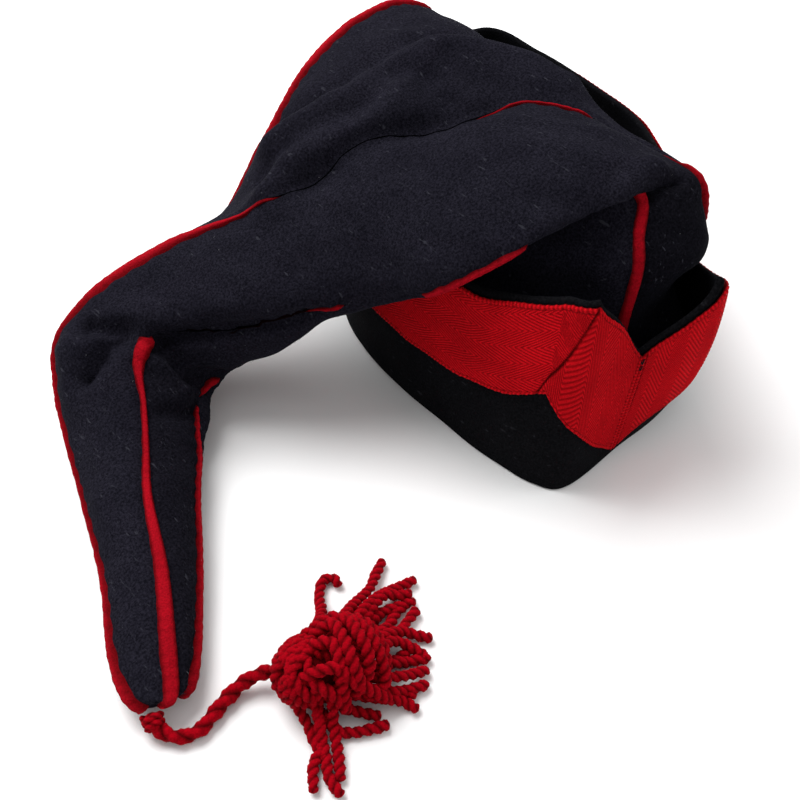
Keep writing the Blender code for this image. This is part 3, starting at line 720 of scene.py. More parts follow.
# Each seam's (side, fore, level): top, front, under, back
SECTIONS = (
    ((0.20, -0.52, 0.85), (-0.47, -0.78, 0.74), (-0.87, 0.23, 0.83), (0.50, 0.91, 0.82)),
    ((0.13, -0.67, 1.08), (-0.45, -0.77, 1.14), (-0.87, 0.23, 0.99), (0.46, 0.95, 1.11)),
    ((0.06, -0.74, 1.47), (-0.39, -0.72, 1.46), (-0.88, 0.23, 1.08), (0.42, 0.97, 1.36)),
    ((0.02, -0.71, 1.78), (-0.31, -0.66, 1.76), (-0.89, 0.23, 1.18), (0.33, 0.97, 1.66)),
    ((0.00, -0.48, 1.83), (-0.57, -0.61, 1.67), (-0.93, 0.23, 1.20), (0.20, 0.96, 1.82)),
    ((-0.06, -0.26, 1.92), (-0.84, -0.55, 1.51), (-0.99, 0.24, 1.22), (0.03, 0.97, 1.86)),
    ((-0.26, -0.01, 1.93), (-1.02, -0.46, 1.17), (-1.02, 0.29, 1.15), (-0.26, 0.96, 1.74)),
    ((-0.61, 0.12, 1.81), (-1.08, -0.34, 0.93), (-1.04, 0.34, 0.96), (-0.55, 0.93, 1.45)),
    ((-0.86, 0.26, 1.60), (-1.11, -0.15, 0.79), (-1.10, 0.40, 0.57), (-0.78, 0.86, 1.17)),
    ((-1.05, 0.35, 1.27), (-1.18, -0.02, 0.73), (-1.19, 0.40, 0.42), (-1.01, 0.80, 0.90)),
    ((-1.18, 0.50, 0.94), (-1.29, 0.11, 0.66), (-1.27, 0.38, 0.25), (-1.13, 0.77, 0.63)),
    ((-1.335, 0.69, 0.77), (-1.39, 0.31, 0.56), (-1.34, 0.35, 0.16), (-1.29, 0.77, 0.34)),
    ((-1.50, 0.79, 0.61), (-1.49, 0.45, 0.53), (-1.40, 0.32, 0.14), (-1.43, 0.67, 0.12)),
    ((-1.63, 0.79, 0.44), (-1.55, 0.42, 0.48), (-1.45, 0.23, 0.13), (-1.55, 0.54, 0.05)),
    ((-1.69, 0.69, 0.31), (-1.60, 0.28, 0.40), (-1.50, 0.16, 0.13), (-1.62, 0.39, 0.02)),
    ((-1.74, 0.53, 0.22), (-1.66, 0.14, 0.34), (-1.54, 0.08, 0.13), (-1.66, 0.25, 0.02)),
    ((-1.82, 0.21, 0.16), (-1.73, -0.02, 0.31), (-1.61, -0.05, 0.13), (-1.73, 0.07, 0.02)),
    ((-1.90, -0.10, 0.14), (-1.81, -0.27, 0.26), (-1.72, -0.28, 0.11), (-1.82, -0.16, 0.02)),
    ((-1.99, -0.36, 0.12), (-1.90, -0.50, 0.20), (-1.83, -0.50, 0.09), (-1.91, -0.41, 0.02)),
    ((-2.02, -0.50, 0.11), (-1.95, -0.62, 0.14), (-1.89, -0.60, 0.09), (-1.94, -0.55, 0.02)),
    ((-2.01, -0.57, 0.08), (-1.97, -0.62, 0.11), (-1.92, -0.62, 0.08), (-1.95, -0.58, 0.03)),
)
# How far each gore bellies out, as a share of its chord: front, under, back, top
FULLNESS = (
    (0.17, 0.10, 0.14, 0.14),
    (0.27, 0.06, 0.16, 0.08),
    (0.17, 0.02, 0.15, 0.00),
    (0.10, 0.04, 0.11, 0.00),
    (0.16, 0.09, 0.12, 0.01),
    (0.18, 0.11, 0.13, 0.03),
    (0.18, 0.09, 0.12, 0.05),
    (0.17, 0.11, 0.12, 0.07),
    (0.14, 0.15, 0.12, 0.10),
    (0.11, 0.14, 0.12, 0.12),
    (0.12, 0.17, 0.13, 0.13),
    (0.12, 0.16, 0.14, 0.14),
    (0.14, 0.15, 0.15, 0.15),
    (0.15, 0.15, 0.14, 0.12),
) + 7 * ((0.15, 0.15, 0.12, 0.12),)
print("sections along the crown:", len(SECTIONS))

# %% Join the seams with arcs
def place(side, fore, level):
    """A point of the crown: side in half widths, fore in half lengths, level in band heights."""
    outside = min(side + 1, 0.0)
    x = (side - outside) * HALF_WIDTH + outside * REACH
    z = min(level, 1.0) * BAND_HEIGHT + max(level - 1, 0.0) * RISE
    return np.array([x + BAND_MIDDLE[0], fore * HALF_LENGTH + BAND_MIDDLE[1], z])


def base_loop(level):
    """A loop of the crown inside the band's wall, leaning in as it rises."""
    runs = []
    for index, start in enumerate(BASE_SEAMS):
        end = BASE_SEAMS[(index + 1) % 4]
        where = np.linspace(start, end + STATIONS * (end < start), LOOP_STEPS, endpoint=False)
        share = level + HEM_HEIGHT / BAND_HEIGHT * (1 - level)
        runs.append(band_points(where, share, -WALL - GAP - LEAN * level))
    return np.concatenate(runs)


def crown_loop(seams, towards, fullness):
    """Four arcs from seam to seam, rounded a little where they meet."""
    share = np.arange(LOOP_STEPS)[:, None] / LOOP_STEPS
    arcs = []
    for index in range(4):
        chord = seams[(index + 1) % 4] - seams[index]
        belly = unit(np.cross(towards, chord)) * np.linalg.norm(chord) * fullness[index]
        arcs.append(seams[index] + chord * share + belly * 4 * share * (1 - share))
    loop = np.concatenate(arcs)
    for _ in range(ROUNDING_PASSES):
        loop = (np.roll(loop, 1, axis=0) + 2 * loop + np.roll(loop, -1, axis=0)) / 4
    return loop


def crown_loops():
    """All loops of the crown, and the row of SECTIONS that each one stands at."""
    seams = np.array([[place(*seam) for seam in row] for row in SECTIONS])
    towards = unit(np.gradient(seams.mean(axis=1), axis=0))
    loops = [base_loop(level) for level in BASE_LEVELS]
    for row, heading, belly in zip(seams, towards, FULLNESS):
        loops.append(crown_loop(row, heading, belly))
    steps = np.arange((len(loops) - 1) * STEPS_A_SECTION + 1) / STEPS_A_SECTION
    return spline_at(loops, steps, False), steps - len(BASE_LEVELS)


loops, section_at = crown_loops()
print("crown length in mm:", round(reached(loops.mean(axis=1))[-1] * 1000))

# %% [markdown]
# ## Folds, seams and puckers
#
# Cloth that falls over makes folds. The big ones are ridges and hollows along lines across the crown,
# each given by a few places on it. Smaller ones come from the seams: a seam's thread is a little
# tighter than the cloth, so both edges dip into a gutter beside the piping and pucker every few
# millimetres. All of them are added as a lift along the cloth's normal.
#
# Where a seam is pulled shut, its two gores meet and the piping between them sinks out of sight. A
# table says how wide each piping shows along the crown, and the gores' edges follow from it.

# %% Lay out the crown's points
ACROSS_GORES = (62, 54, 44, 84)
ACROSS_PIPING = 9
SEAM_SLIT = GAP * 0.15
# How far each seam stands past its place in SECTIONS, towards the next one: section row, steps round
SEAM_SHIFTS = (
    ((0, 0), (0.6, 6), (2.4, 7), (3.0, 4), (3.6, 0), (8.4, 0), (9.0, 2), (9.6, 5), (10.2, 1), (10.6, 0)),
    ((0, 0), (20, 0)),
    ((10, -6), (11, -8), (12, -12), (13, -16), (14, -14), (15, -9), (16, -7), (17, -6)),
    ((0, 4), (20, 4)),
)
# Where each piping shows between its gores: section row, share of PIPING_WIDTH
PIPING_SHOWN = (
    ((0, 0.9), (3.0, 0.8), (3.3, 0.3), (3.9, 0.18), (4.3, 0.05), (4.6, 0.05), (5, 0.35), (6, 0.3),
     (6.6, 0.04), (9.4, 0.04), (9.6, 0.25), (10.2, 0.4), (10.7, 0.9), (11.2, 1.6), (12, 2.1), (12.5, 1.5),
     (13, 0.8), (16, 0.5), (17, 0.6), (18, 0.9), (19, 1.35)),
    ((0, 0.85), (3.0, 0.85), (3.25, 0.04), (5, 0.04), (5.5, 0.8), (6.9, 0.7), (7.4, 0.05), (8.8, 0.04),
     (8.95, 0.35), (9.45, 0.3), (9.6, 0.02), (12.0, 0.02), (12.2, 1.2), (12.6, 1.3), (13, 1.0), (13.6, 0.6),
     (14, 0.45), (15, 0.5), (16, 0.65), (17, 1.0), (18, 1.2), (20, 0.9)),
    ((0, 1.0), (8, 0.9), (8.5, 0.04), (11.2, 0.04), (11.6, 0.7), (12.2, 0.4), (12.5, 0.04), (12.8, 0.04),
     (13.1, 0.35), (16, 0.45), (17, 0.6), (18, 0.9), (19, 1.2)),
    ((0, 1.0), (4, 1.1), (8, 1.2), (18, 1.3), (20, 0.7)),
)


def piping_widths():
    """Width of each piping at each row of the crown."""
    columns = [np.interp(section_at, *zip(*shown)) for shown in PIPING_SHOWN]
    return np.stack(columns, axis=1) * PIPING_WIDTH


def crown_grid():
    """Points round each loop, each point's distance from its piping, and how wide that piping is."""
    grid, from_piping, beside = [], [], []
    shifts = np.stack([np.interp(section_at, *zip(*shift)) for shift in SEAM_SHIFTS], axis=1)
    for loop, widths, shift in zip(loops, piping_widths(), shifts):
        columns, distances, near_widths = [], [], []
        for index in range(4):
            first = index * LOOP_STEPS + shift[index]
            last = (index + 1) * LOOP_STEPS + shift[(index + 1) % 4]
            places = np.linspace(first, last, LOOP_STEPS + 1)
            low = np.floor(places).astype(int)
            share = (places - low)[:, None]
            run = loop[low % len(loop)] * (1 - share) + loop[(low + 1) % len(loop)] * share
            total = reached(run)[-1]
            before, after = widths[index] / 2, widths[(index + 1) % 4] / 2
            near = np.linspace(0, before, ACROSS_PIPING // 2 + 1)
            gore = np.linspace(before + SEAM_SLIT, total - after - SEAM_SLIT, ACROSS_GORES[index])
            far = total - np.linspace(0, after, ACROSS_PIPING // 2 + 1)[:0:-1]
            lengths = np.concatenate([near, gore, far])
            columns.append(along_line(run, lengths))
            distances.append(np.minimum(lengths - before, total - lengths - after))
            near_widths.append(np.where(lengths < total / 2, 2 * before, 2 * after))
        grid.append(np.concatenate(columns))
        from_piping.append(np.concatenate(distances))
        beside.append(np.concatenate(near_widths))
    return np.array(grid), np.array(from_piping), np.array(beside)


smooth_grid, from_piping, piping_beside = crown_grid()
print("crown grid:", smooth_grid.shape[0], "rows of", smooth_grid.shape[1], "points")

# %% Raise the folds
FOLD_HEIGHT = 0.006
FOLD_WIDTH = 0.014
NARROW_FOLD = 0.4
BEHIND_A_FOLD = (0.75, 0.85, -0.1)
# Share of FOLD_HEIGHT, under zero for a hollow, share of FOLD_WIDTH, share of the height that the
# cloth sinks again behind it, line of (side, fore, level)
FOLDS = (
    (1.3, 0.9, 0.75, ((-1.02, 0.60, 1.26), (-0.88, 0.50, 1.60), (-0.66, 0.47, 1.80), (-0.45, 0.44, 1.90),
                      (-0.22, 0.36, 1.95), (-0.04, 0.19, 1.95), (0.06, -0.04, 1.82))),
    (1.2, 0.7, 0.70, ((-1.13, 0.46, 1.01), (-1.04, 0.42, 1.30), (-0.94, 0.34, 1.50),
                      (-0.76, 0.28, 1.71), (-0.59, 0.31, 1.86))),
    (-0.7, 0.6, 0.0, ((-1.05, 0.35, 1.27), (-0.86, 0.26, 1.58), (-0.61, 0.12, 1.79), (-0.35, 0.03, 1.90))),
    (-1.00, 0.30, 0.0, ((-1.59, 0.66, 0.545), (-1.56, 0.59, 0.53), (-1.53, 0.55, 0.51),
                        (-1.55, 0.54, 0.495), (-1.58, 0.54, 0.48), (-1.60, 0.52, 0.45),
                        (-1.65, 0.51, 0.40))),
    (0.60, 0.55, 0.0, ((-1.63, 0.64, 0.47), (-1.60, 0.58, 0.48))),
    (0.80, 0.32, 0.0, ((-1.51, 0.44, 0.49), (-1.50, 0.36, 0.43), (-1.48, 0.29, 0.36))),
    (-0.75, 0.28, 0.0, ((-1.49, 0.42, 0.48), (-1.475, 0.35, 0.42), (-1.455, 0.30, 0.36),
                        (-1.38, 0.33, 0.26))),
    (-0.45, 0.26, 0.0, ((-1.57, 0.24, 0.37), (-1.53, 0.22, 0.31), (-1.49, 0.24, 0.27))),
    (-0.60, 0.28, 0.0, ((-1.22, 0.05, 0.70), (-1.30, 0.16, 0.64), (-1.35, 0.24, 0.61), (-1.43, 0.35, 0.56),
                        (-1.50, 0.44, 0.51))),
    (0.50, 0.60, 0.0, ((-1.25, 0.14, 0.77), (-1.33, 0.27, 0.71), (-1.42, 0.40, 0.64), (-1.50, 0.54, 0.60))),
    (-0.80, 0.20, 0.0, ((-0.34, -0.65, 1.79), (-0.22, -0.66, 1.78), (-0.13, -0.68, 1.775))),
    (0.35, 0.28, 0.0, ((-0.38, -0.60, 1.83), (-0.22, -0.60, 1.84), (-0.18, -0.61, 1.84))),
    (0.3, 0.35, 0.5, ((-0.26, 0.51, 2.00), (-0.27, 0.43, 2.02), (-0.27, 0.36, 2.00))),
    (-0.4, 0.35, 0.0, ((-0.45, 0.16, 1.87), (-0.50, 0.24, 1.87), (-0.42, 0.30, 1.90))),
)


def grid_normals(grid):
    along = np.gradient(grid, axis=0)
    across = np.roll(grid, -1, axis=1) - np.roll(grid, 1, axis=1)
    normals = unit(np.cross(along, across))
    outward = grid - grid.mean(axis=1, keepdims=True)
    return normals if (normals * outward).sum() > 0 else -normals


def distance_to(grid, line):
    away = np.full(grid.shape[:2], 9.0)
    for point in line:
        away = np.minimum(away, np.linalg.norm(grid - point, axis=2))
    return away


def nearest_on(grid, point):
    away = np.linalg.norm(grid - point, axis=2)
    return grid[np.unravel_index(np.argmin(away), away.shape)]


def fold_lift(grid):
    """How far each point is lifted by the folds. A narrow fold's line is first laid onto the cloth."""
    lift = np.zeros(grid.shape[:2])
    for height, width, sinks, places in FOLDS:
        line = spline_at([place(*point) for point in places], np.linspace(0, len(places) - 1, 40), False)
        size = width * FOLD_WIDTH
        if width < NARROW_FOLD:
            line = np.array([nearest_on(grid, point) for point in line])
        lift += height * FOLD_HEIGHT * np.exp(-((distance_to(grid, line) / size) ** 2))
        if sinks:
            behind = line + np.array(BEHIND_A_FOLD) * size
            hollow = np.exp(-((distance_to(grid, behind) / (0.6 * size)) ** 2))
            lift -= sinks * height * FOLD_HEIGHT * hollow
    return lift


folded = fold_lift(smooth_grid)
smooth_grid = smooth_grid + grid_normals(smooth_grid) * folded[:, :, None]
normals = grid_normals(smooth_grid)
print("highest fold in mm:", round(float(folded.max()) * 1000, 1))

# %% Gutters, puckers and slow waves
GUTTER_DEPTH = 0.0008
GUTTER_WIDTH = 0.0022
PUCKER_HEIGHT = 0.00035
PUCKER_STEP = 0.0085
PUCKER_FADE = 0.005
# A piping that shows less than this share of its width begins to sink into its seam
SHUT_SHARE = 0.4
SHUT_GUTTER = 0.0012
# Height, length and seed of the slow waves in the cloth
WAVES = ((0.0009, 0.045, 5), (0.0004, 0.016, 6))
WAVES_FADE = 0.01


def cloth_lift(grid):
    """Slow waves all over, a gutter at each seam and puckers that fade away from it."""
    out_of_band = np.clip((section_at + 1.0) / 1.5, 0, 1)[:, None]
    away = np.maximum(from_piping, 0)
    hidden = np.clip(1 - piping_beside / (SHUT_SHARE * PIPING_WIDTH), 0, 1)
    along = reached(grid.mean(axis=1))[:, None]
    drift = 3 * ripples(grid, 0.05, 21)
    pucker = np.cos(2 * math.pi * along / PUCKER_STEP + drift) * np.exp(-away / PUCKER_FADE)
    waves = sum(height * ripples(grid, length, seed) for height, length, seed in WAVES)
    gutter = -(GUTTER_DEPTH + SHUT_GUTTER * hidden) * np.exp(-(away / (GUTTER_WIDTH * (1 + hidden))) ** 2)
    return (waves * np.clip(away / WAVES_FADE, 0, 1) + PUCKER_HEIGHT * pucker) * out_of_band + gutter


lifted = cloth_lift(smooth_grid)
print("deepest gutter in mm:", round(-float(lifted.min()) * 1000, 1))

# %% Sew the gores and the piping
GORES = ("gore_front", "gore_under", "gore_back", "gore_top")
PIPINGS = ("piping_top", "piping_front", "piping_under", "piping_back")
PIPING_PROUD = 0.0012
TABLE_CLEARANCE = 0.0004


def above_table(points):
    points[..., 2] = np.maximum(points[..., 2], TABLE_CLEARANCE)
    return points


# Painted shade on each gore, as section rows and shares of its colour: the front and top gores are
# painted darker where they stand upright in the band, and the under gore towards the tail's tip
PAINTED_SHADE_ROWS = (
    ((3.0, 0.42), (3.7, 1.0)),
    ((11, 1.0), (12.5, 0.62)),
    ((0, 1.0), (1, 1.0)),
    ((2.8, 0.5), (3.5, 1.0)),
)


def make_gore(index, start):
    columns = start + ACROSS_PIPING // 2 + 1 + np.arange(ACROSS_GORES[index])
    face = smooth_grid[:, columns] + normals[:, columns] * lifted[:, columns, None]
    back = face - normals[:, columns] * CLOTH
    rings = above_table(np.concatenate([face, back[:, ::-1]], axis=1))
    # Painted shade factor for this gore, the same all round each row
    brushing = np.interp(section_at, *zip(*PAINTED_SHADE_ROWS[index]))[:, None] * np.ones(rings.shape[1])
    made = skin(GORES[index] + "_cloth", rings, False, navy_wool, brushing=brushing)
    return stands_for(made, "navy_broadcloth", GORES[index]), (face, normals[:, columns])


# How far a shut piping sinks at its face and its back, the depth of its back when it shows, and how
# far its hidden edges reach under the gores
SUNK_FACE = 0.0045
SUNK_BACK = 0.0040
PIPING_BACK = 0.0018
UNDER_GORES = 0.0006
PINCH = 0.00012
PINCH_STEP = 0.0042


def make_piping(index, start):
    half = ACROSS_PIPING // 2
    columns = (start + np.arange(-half, half + 1)) % smooth_grid.shape[1]
    strip, out = smooth_grid[:, columns], normals[:, columns].mean(axis=1, keepdims=True)
    shown = np.minimum(piping_widths()[:, index] / PIPING_WIDTH, 1.0)[:, None]
    hidden = np.clip(1 - shown / SHUT_SHARE, 0, 1)
    across = np.linspace(-1, 1, ACROSS_PIPING)
    along = reached(strip[:, half])[:, None]
    rough = 1 + 0.12 * ripples(strip, 0.009, 30 + index)
    dome = (PIPING_PROUD * rough * (1 - across ** 4) ** 0.6 + 0.0001) * shown ** 0.5 - SUNK_FACE * hidden
    pinch = PINCH * np.cos(2 * math.pi * along / PINCH_STEP + 2 * ripples(strip, 0.03, 40 + index))
    face = strip + out * (dome + pinch)[:, :, None]
    aside = unit(strip[:, -1:] - strip[:, :1]) * across[None, :, None]
    back = strip + aside * UNDER_GORES - out * (PIPING_BACK + SUNK_BACK * hidden)[:, :, None]
    # Painted shade: the piping darkens towards its edges beside the gores and in its pinches, and a sunk
    # piping is painted almost black
    depth = np.clip(np.abs(across) ** 3 * 0.7 + 0.25 * (-pinch / PINCH).clip(0, 1), 0, 1)
    rings = above_table(np.concatenate([face, back[:, ::-1]], axis=1))
    depths = np.concatenate([depth, np.ones_like(depth)], axis=1) + 2 * hidden
    made = skin(PIPINGS[index] + "_cloth", rings, False, red_piping, depth=depths)
    return stands_for(made, "red_piping_cloth", PIPINGS[index])


seam_columns = np.cumsum([0] + [ACROSS_PIPING + across for across in ACROSS_GORES])
gore_faces = {}
for index in range(4):
    gore, gore_faces[GORES[index]] = make_gore(index, seam_columns[index])
    make_piping(index, seam_columns[index])
    print(GORES[index], "has", len(gore.data.polygons), "faces")

# %% [markdown]
# ## The tassel
#
# The tassel looks like a long doubled yarn, wound and knotted into a ball, with its ends cut loose. It
# has three kinds of strand: wraps round the head, loops laid over the top, and free ends that fall to
# the table. Wraps are circles on a ball, so a formula makes them. Loops and ends are given as a few
# points each. They are in millimetres from the spot on the table under the head's middle: to the
# wearer's left, back, and up.

# %% Where the tassel's strands lie
TASSEL_MIDDLE = (-0.2110, -0.0920)
STRAND = 0.0043
STRAND_PITCH = 0.0072
STRAND_PLY_PITCH = 0.0017
LOOP_THICKNESS = STRAND * 1.1
HEAD_RADIUS = 0.0138
HEAD_HEIGHT = 0.024
HEAD_SIZE = np.array([HEAD_RADIUS, HEAD_RADIUS, HEAD_HEIGHT / 2])
LOOPS = (
    ((-2, 10, 14), (8, 8, 19), (17, 5, 22), (21, -4, 23), (20, -14, 20), (17, -21, 12), (10, -20, 8)),
    ((4, 6, 18), (13, 3, 24), (12, -5, 26), (9, -13, 24), (8, -18, 17), (6, -17, 10)),
    ((8, 8, 16), (18, 2, 23), (17, -8, 25), (15, -15, 21), (11, -18, 15)),
    ((-8, -2, 16), (-2, -7, 22), (4, -11, 23), (6, -16, 19), (11, -21, 13), (16, -25, 6)),
    ((2, 2, 22), (8, -3, 25), (6, -10, 24), (3, -15, 17), (2, -18, 9)),
    ((10, 10, 12), (20, 6, 17), (25, -2, 18), (25, -11, 14), (22, -17, 8)),
    ((-4, -4, 18), (-3, -10, 18), (0, -15, 14), (2, -19, 7)),
)
ENDS = (
    ((8, 6, 12), (14, 11, 13), (22, 18, 6), (27, 25, 3), (33, 30, 2), (37, 28, 2), (36, 24, 2)),
    ((10, 2, 14), (24, 8, 13), (32, 11, 9), (42, 14, 5), (49, 18, 3), (57, 22, 2)),
    ((12, 0, 12), (27, 5, 11), (37, 8, 8), (45, 9, 5), (53, 8, 3), (60, 7, 2)),
    ((12, -2, 9), (28, 3, 9), (43, 8, 6), (49, 5, 4), (54, 3, 3)),
    ((12, -3, 7), (30, 2, 7), (38, 4, 4), (44, 3, 3), (53, 0, 2)),
    ((12, -5, 8), (31, -3, 7), (37, -2, 4), (44, 1, 2), (49, 1, 2)),
    ((12, -6, 5), (34, -7, 4), (43, -5, 3), (51, -3, 2)),
    ((10, -5, 11), (28, -6, 10), (38, -7, 5), (42, -11, 3), (46, -16, 2)),
    ((10, -8, 11), (27, -9, 10), (34, -10, 6), (38, -17, 3), (38, -21, 2)),
    ((8, -8, 8), (26, -15, 6), (32, -17, 3), (40, -21, 2)),
    ((7, -9, 10), (22, -20, 8), (28, -22, 5), (36, -24, 2)),
    ((5, -10, 10), (16, -22, 8), (23, -25, 4), (32, -28, 2)),
    ((4, -10, 8), (14, -23, 7), (20, -27, 3), (22, -33, 2)),
    ((0, -8, 8), (2, -15, 6), (5, -19, 4), (11, -26, 2)),
    ((-4, -8, 6), (-4, -19, 3), (0, -24, 2), (5, -27, 2), (11, -30, 2)),
    ((0, -6, 14), (-1, -14, 11), (-4, -18, 5), (-7, -23, 3), (-11, -29, 2), (-15, -34, 2)),
    ((-4, -4, 12), (-5, -11, 8), (-9, -17, 4), (-12, -21, 2), (-18, -24, 2), (-24, -31, 2)),
    ((-4, -8, 9), (-8, -16, 5), (-11, -21, 2), (-14, -26, 2), (-17, -31, 2), (-18, -38, 2)),
    ((-7, -1, 10), (-9, -6, 6), (-10, -12, 3), (-12, -18, 2), (-14, -25, 2)),
    ((8, 4, 8), (18, 8, 7), (27, 9, 4), (35, 12, 2)),
    ((9, 0, 6), (20, 0, 5), (30, 1, 2), (40, 6, 2)),
    ((6, -8, 6), (18, -12, 5), (28, -13, 2), (36, -14, 2)),
    ((4, -9, 5), (12, -18, 4), (18, -23, 2), (26, -28, 2)),
)
# Each wrap's tilt from level and turn about the upright, in degrees, and its share of the head
WRAPS = (
    (78, 20, 1.00), (66, 35, 0.97), (88, 5, 0.98), (55, 60, 0.96), (72, -20, 0.97), (80, -45, 0.95),
    (60, -65, 0.94), (30, 10, 0.90), (86, 70, 0.94), (45, -30, 0.92),
)
print("wraps, loops and ends:", len(WRAPS), len(LOOPS), len(ENDS))

# %% Wind the tassel
YARN_CLEARANCE = 0.0002


def wrap_line(middle, tilt, turn, share):
    """A ring of yarn laid round the head, tilted and turned."""
    angle = np.linspace(0, 2 * math.pi, 25)
    ring = np.stack([np.cos(angle), np.sin(angle), np.zeros(25)], axis=1)
    tilted = Matrix.Rotation(math.radians(turn), 3, "Z") @ Matrix.Rotation(math.radians(tilt), 3, "X")
    return middle + (ring @ np.array(tilted).T) * (HEAD_SIZE * share - STRAND / 2)


def core_rings(middle, radius):
    """A plain ball of wound yarn under the strands, so that nothing shows through them."""
    tilt = np.linspace(-0.98, 0.98, 11) * math.pi / 2
    angle = np.arange(20) * 2 * math.pi / 20
    flat = np.cos(tilt)[:, None]
    level = np.sin(tilt)[:, None] * np.ones(20)
    ball = np.stack([flat * np.cos(angle), flat * np.sin(angle), level], axis=-1)
    return middle + ball * radius


def make_tassel():
    """The wraps, loops and ends round a plain core, joined into one piece."""
    middle = np.array([*TASSEL_MIDDLE, HEAD_HEIGHT / 2 + TABLE_CLEARANCE]) + (*BAND_MIDDLE, 0.0)
    foot = middle * (1, 1, 0)
    lines = [(wrap_line(middle, *wrap), STRAND) for wrap in WRAPS]
    lines += [(foot + np.array(points) / 1000, LOOP_THICKNESS) for points in LOOPS]
    lines += [(foot + np.array(points) / 1000, STRAND) for points in ENDS]
    core = core_rings(middle, HEAD_SIZE - STRAND * 0.75)
    # Painted shade: the core takes the yarn's dark groove colour all over
    strands = [skin("core", core, False, red_yarn, depth=np.ones(core.shape[:2]))]
    for number, (points, thick) in enumerate(lines):
        line = evenly(points, YARN_STEP)
        line[:, 2] = np.maximum(line[:, 2], STRAND / 2 + YARN_CLEARANCE)
        rings, depth = plied(line, thick, STRAND_PITCH, STRAND_PLY_PITCH, 12, start=number * 1.7)
        strands.append(skin(f"strand_{number}", above_table(rings), False, red_yarn, depth=depth))
    first = strands[0]
    with bpy.context.temp_override(active_object=first, selected_editable_objects=strands):
        bpy.ops.object.join()
    first.name = "tassel_strands"
    return stands_for(first, "red_wool_yarn", "tassel"), len(lines)


tassel, strand_count = make_tassel()
print("strands in the tassel:", strand_count)

# %% [markdown]
# ## Fuzz, lint and stitches
#
# Wool is never bare: loose fibres stand off the cloth and the yarn, and pale lint sticks to dark
# cloth. Each fibre is a three-sided sliver that bends once, closed at both ends. They are set at
# seeded random places and go into three meshes: the cloth's fuzz, its lint and the yarn's fuzz.
# Thread is made in the same way, only thicker.

# %% Scatter fibres
# Where along its length each fibre has a point, and how deep its root is in the cloth
FIBRE_SHARES = (0.0, 0.35, 0.7, 1.0)
ROOT_DEPTH = 0.0001


def slivers(name, lines, thickness, finish, slot):
    """One mesh of thin closed three-sided tubes. lines has a row of points for each."""
    count, steps = lines.shape[:2]
    ahead = unit(np.gradient(lines, axis=1))
    side = unit(np.cross(ahead, np.array([0.31, 0.17, 0.93])))
    up = np.cross(ahead, side)
    angle = np.arange(3) * 2 * math.pi / 3
    taper = np.interp(np.linspace(0, 1, steps), (0, 0.15, 0.8, 1), (0.5, 1, 0.8, 0.3))[:, None, None]
    thickness = np.broadcast_to(thickness, count)[:, None, None, None]
    ring = side[:, :, None] * np.cos(angle)[:, None] + up[:, :, None] * np.sin(angle)[:, None]
    points = lines[:, :, None] + ring * thickness / 2 * taper
    index = np.arange(count * steps * 3).reshape(count, steps, 3)
    beside = np.roll(index, -1, axis=2)
    quads = np.stack([index[:, :-1], beside[:, :-1], beside[:, 1:], index[:, 1:]], axis=-1).reshape(-1, 4)
    ends = np.concatenate([index[:, 0, ::-1], index[:, -1]])
    mesh = bpy.data.meshes.new(name)
    mesh.from_pydata(points.reshape(-1, 3).tolist(), [], quads.tolist() + ends.tolist())
    mesh.materials.append(finish)
    made = bpy.data.objects.new(name, mesh)
    bpy.context.scene.collection.objects.link(made)
    return stands_for(made, slot)


def scattered(face, out, count, rng):
    """Random places on a grid of points, with the direction off the cloth at each."""
    row = rng.integers(0, face.shape[0] - 1, count)
    column = rng.integers(0, face.shape[1] - 1, count)
    a, b = rng.random((2, count, 1))
    near = face[row, column] * (1 - a) + face[row, column + 1] * a
    far = face[row + 1, column] * (1 - a) + face[row + 1, column + 1] * a
    return near * (1 - b) + far * b, out[row, column]


def loose_fibres(roots, out, length, lean, rng):
    """Short bent lines that start just inside the cloth and lean off it."""
    heading = unit(rng.normal(size=roots.shape))
    heading = unit(heading - out * (heading * out).sum(axis=1, keepdims=True))
    reach = length * rng.uniform(0.5, 1.3, (len(roots), 1))
    lean = lean * rng.uniform(0.2, 1.6, (len(roots), 1))
    curl = unit(np.cross(heading, out)) * rng.uniform(-0.35, 0.35, (len(roots), 1))
    steps = []
    for share in FIBRE_SHARES:
        bend = heading * share + curl * share ** 2 + out * lean * share * (1.4 - 0.9 * share)
        steps.append(roots - out * ROOT_DEPTH + bend * reach)
    return np.stack(steps, axis=1)


def plain_finish(name, colour):
    finish, shader = start_finish(name, 0.9, 0.0, (1, 1, 1))
    shader.inputs["Base Color"].default_value = (*colour, 1.0)
    return finish


print("points along each fibre:", len(FIBRE_SHARES))

# %% Fuzz and lint on the gores, fuzz on the yarn
# Each kind's length, share of it that leans off the cloth, and thickness
WOOL_FUZZ = (0.0016, 0.40, 0.00007)
LINT = (0.0010, 0.12, 0.00013)
YARN_FUZZ = (0.0013, 0.5, 0.00006)
FUZZ_A_GORE = 700
LINT_A_GORE = 26
FUZZ_ON_TASSEL = 1500
FUZZ_ON_CORD = 350

rng = np.random.default_rng(12)
outside = section_at > 0
fuzz_lines, lint_lines = [], []
for face, out in gore_faces.values():
    roots, off = scattered(face[outside], out[outside], FUZZ_A_GORE, rng)
    fuzz_lines.append(loose_fibres(roots, off, *WOOL_FUZZ[:2], rng))
    roots, off = scattered(face[outside], out[outside], LINT_A_GORE, rng)
    lint_lines.append(loose_fibres(roots, off, *LINT[:2], rng))
wool_fuzz = plain_finish("wool fuzz", (0.026, 0.025, 0.034))
slivers("wool_fuzz", np.concatenate(fuzz_lines), WOOL_FUZZ[2], wool_fuzz, "navy_broadcloth")
pale_lint = plain_finish("pale lint", (0.16, 0.16, 0.17))
slivers("lint", np.concatenate(lint_lines), LINT[2], pale_lint, "navy_broadcloth")

